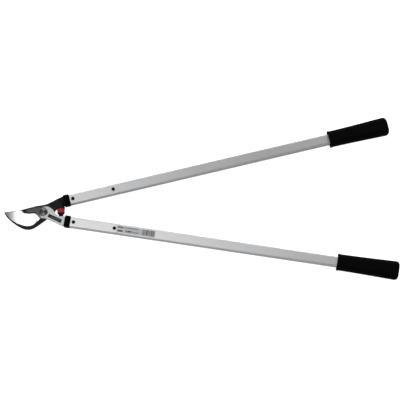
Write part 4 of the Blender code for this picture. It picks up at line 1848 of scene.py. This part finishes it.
@dataclass
class Labels:
    """Two labels with plain bars in place of print.

    Attributes:
        layout: Places in the frame.
        palette: The materials.
        scatter: The trees that lay the bars.
        tang_heights: Underside and top of the dark label, from the pivot joint.
        tang_middle: Where the middle of its print lies, in the pivot's axes.
        slant: How far its marks lean for each unit of height.
        film_heights: Underside and top of the silver film, from the handle's middle line.
    """

    layout: Layout
    palette: Palette
    scatter: Scatter
    tang_heights: Point = (5.95, 6.25)
    tang_middle: Point = (25.7, -16.1)
    slant: float = 0.25
    film_heights: Point = (9.3, 9.6)

    def printed(self, name: str, rows: Sequence[PrintRow], place: Matrix, top: float,
                material: bpy.types.Material) -> None:
        """Rows of bars on a label.

        Args:
            name: The piece's name.
            rows: The rows, in the label's axes.
            place: The label's axes.
            top: Height of the label's face.
            material: The ink.
        """
        work = bmesh.new()
        for row in rows:
            mesh = self.scatter.row(row, material)
            mesh.transform(Matrix.Translation((*row.start, top)))
            work.from_mesh(mesh)
        piece(name, mesh_from(work), place, (material,), "blade_side")

    def blade_label(self) -> None:
        """The dark label on the blade's tang, with a row of pale slanted marks."""
        corners = ((12.4, -4.8), (9.2, -11.9), (38.6, -27.8), (42.0, -19.9))
        piece("tang_label", plate([hard(*corners)], *self.tang_heights, 0.05), self.layout.pivot,
              (self.palette.label,), "blade_side", ("blade_label",))
        (start_x, start_y), (end_x, end_y) = corners[0], corners[-1]
        turn = Matrix.Rotation(math.atan2(end_y - start_y, end_x - start_x), 4, "Z")
        lean = Matrix(((1, self.slant, 0, 0), (0, 1, 0, 0), (0, 0, 1, 0), (0, 0, 0, 1)))
        place = self.layout.pivot @ Matrix.Translation((*self.tang_middle, 0)) @ turn @ lean
        row = PrintRow((-8.8, 0.0), 6, 3.9, 1.3, 2.3, 3.0, 11)
        self.printed("tang_label_marks", (row,), place, self.tang_heights[1], self.palette.print_pale)

    def handle_label(self) -> None:
        """The silver film on the lower handle: two rows of small marks and a block of bars."""
        place = self.layout.handles[Side.LOWER]
        corners = hard((243.8, -8.3), (333.0, -8.3), (333.0, 7.1), (243.8, 7.1))
        piece("handle_film", plate([corners], *self.film_heights, 0.04), place, (self.palette.film,),
              "blade_side", ("handle_label",))
        rows = (PrintRow((247.5, 4.2), 5, 2.6, 1.8, 2.4, 3.0, 3),
                PrintRow((248.5, -4.6), 3, 4.0, 3.0, 4.0, 3.6, 5),
                PrintRow((264.0, 4.4), 16, 1.9, 0.8, 1.7, 1.7, 7),
                PrintRow((266.0, -3.8), 6, 2.7, 1.4, 2.4, 3.8, 9),
                PrintRow((284.0, -4.2), 5, 2.6, 1.2, 2.2, 2.2, 13),
                PrintRow((304.5, -0.4), 24, 1.13, 0.3, 0.95, 13.0, 17))
        self.printed("handle_film_marks", rows, place, self.film_heights[1], self.palette.print_dark)

    def build(self) -> None:
        """Makes both labels."""
        self.blade_label()
        self.handle_label()


# ---------------------------------------------------------------- studio


@dataclass
class Studio:
    """Floor, light and camera.

    Attributes:
        layout: Places in the frame.
        roll: The camera's turn about the vertical, in degrees.
        tilt: How far the camera leans from straight down, in degrees.
        distance: From the aimed point to the camera, in metres.
        field_width: Width of what it sees, in metres.
        aim: The middle of the view, right of and above the pivot as the camera sees it, in metres.
    """

    layout: Layout
    roll: float = 2.52
    tilt: float = 15.0
    distance: float = 3.6
    field_width: float = 0.92
    aim: Point = (0.3593, 0.029)

    def camera(self) -> None:
        """Sets the camera."""
        roll, tilt = math.radians(self.roll), math.radians(self.tilt)
        right = Vector((math.cos(roll), -math.sin(roll), 0))
        up = Vector((math.sin(roll) * math.cos(tilt), math.cos(roll) * math.cos(tilt), math.sin(tilt)))
        back = right.cross(up)
        target = self.layout.pivot.translation + right * self.aim[0] + up * self.aim[1]
        data = bpy.data.cameras.new("camera")
        data.sensor_width = 36.0
        data.lens = data.sensor_width * self.distance / self.field_width
        data.clip_end = 50.0
        item = bpy.data.objects.new("camera", data)
        turn = Matrix((right, up, back)).transposed().to_4x4()
        item.matrix_world = Matrix.Translation(target + back * self.distance) @ turn
        bpy.context.scene.collection.objects.link(item)
        bpy.context.scene.camera = item

    def floor(self) -> None:
        """A plain pale floor that stays white to the camera and grey in reflections."""
        work = bmesh.new()
        bmesh.ops.create_grid(work, x_segments=1, y_segments=1, size=8.0)
        mesh = bpy.data.meshes.new("floor")
        work.to_mesh(mesh)
        work.free()
        material = bpy.data.materials.new("pale_floor")
        material.use_nodes = True
        sheet = Sheet(material.node_tree)
        shader = sheet.tree.nodes["Principled BSDF"]
        shader.inputs["Base Color"].default_value = (0.8, 0.8, 0.8, 1)
        shader.inputs["Roughness"].default_value = 1.0
        shader.inputs["Specular IOR Level"].default_value = 0.0
        glow = sheet.node("ShaderNodeEmission", {"Color": (1, 1, 1, 1), "Strength": 0.95})
        both = sheet.node("ShaderNodeAddShader", {0: shader.outputs[0], 1: glow.outputs[0]})
        seen = sheet.node("ShaderNodeLightPath").outputs["Is Camera Ray"]
        pick = sheet.node("ShaderNodeMixShader", {0: seen, 1: shader.outputs[0], 2: both.outputs[0]})
        sheet.tree.links.new(pick.outputs[0], sheet.tree.nodes["Material Output"].inputs["Surface"])
        mesh.materials.append(material)
        item = bpy.data.objects.new("floor", mesh)
        item.location = (0, 0, -0.0005)
        bpy.context.scene.collection.objects.link(item)

    def softbox(self, name: str, place: Sequence[float], size: Point, power: float) -> None:
        """An area light that faces the tool's middle line beside the pivot.

        Args:
            name: The light's name.
            place: Where it stands, in metres.
            size: Its width and height, in metres.
            power: Its power, in watts.
        """
        data = bpy.data.lights.new(name, "AREA")
        data.shape = "RECTANGLE"
        data.size, data.size_y = size
        data.energy = power
        item = bpy.data.objects.new(name, data)
        item.location = place
        middle = Vector((self.layout.pivot.translation.x, 0, 0))
        item.rotation_euler = (middle - Vector(place)).to_track_quat("-Z", "Y").to_euler()
        bpy.context.scene.collection.objects.link(item)

    def world(self) -> None:
        """A pale room with a dark ceiling, so that the softboxes stand out in the metal."""
        world = bpy.data.worlds.new("studio")
        bpy.context.scene.world = world
        world.use_nodes = True
        sheet = Sheet(world.node_tree)
        direction = sheet.node("ShaderNodeTexCoord").outputs["Generated"]
        axes = sheet.node("ShaderNodeSeparateXYZ", {0: direction})
        height = sheet.range(axes.outputs[2], 0.3, 0.9)
        colour = sheet.mix(height, (0.55, 0.55, 0.55, 1), (0.14, 0.14, 0.145, 1))
        shader = sheet.tree.nodes["Background"]
        sheet.tree.links.new(colour, shader.inputs["Color"])
        shader.inputs["Strength"].default_value = 0.8

    def build(self) -> None:
        """Sets the whole studio."""
        self.camera()
        self.floor()
        self.softbox("overhead_softbox", (-0.50, -0.20, 2.0), (0.9, 0.6), 7.0)
        self.softbox("rear_left_softbox", (-0.9, 2.3, 1.5), (0.5, 1.0), 11.0)
        self.softbox("rear_right_softbox", (0.90, 2.3, 1.5), (0.7, 1.0), 18.5)
        self.world()
        bpy.context.scene.view_settings.view_transform = "Standard"


def main() -> None:
    """Builds the tool piece by piece, then the studio."""
    logging.basicConfig(level=logging.INFO, format="%(name)s: %(message)s")
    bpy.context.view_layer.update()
    layout = Layout.from_frame()
    palette = Palette(layout)
    scatter = Scatter()
    CuttingBlade(layout, palette).build()
    HookBlade(layout, palette).build()
    Pivot(layout, palette).build()
    Bumper(layout, palette).build()
    Handle(Side.UPPER, layout, palette, scatter, HOOK_HEIGHTS).build()
    Handle(Side.LOWER, layout, palette, scatter, BLADE_HEIGHTS).build()
    Labels(layout, palette, scatter).build()
    Studio(layout).build()
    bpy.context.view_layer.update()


if __name__ == "__main__":
    main()
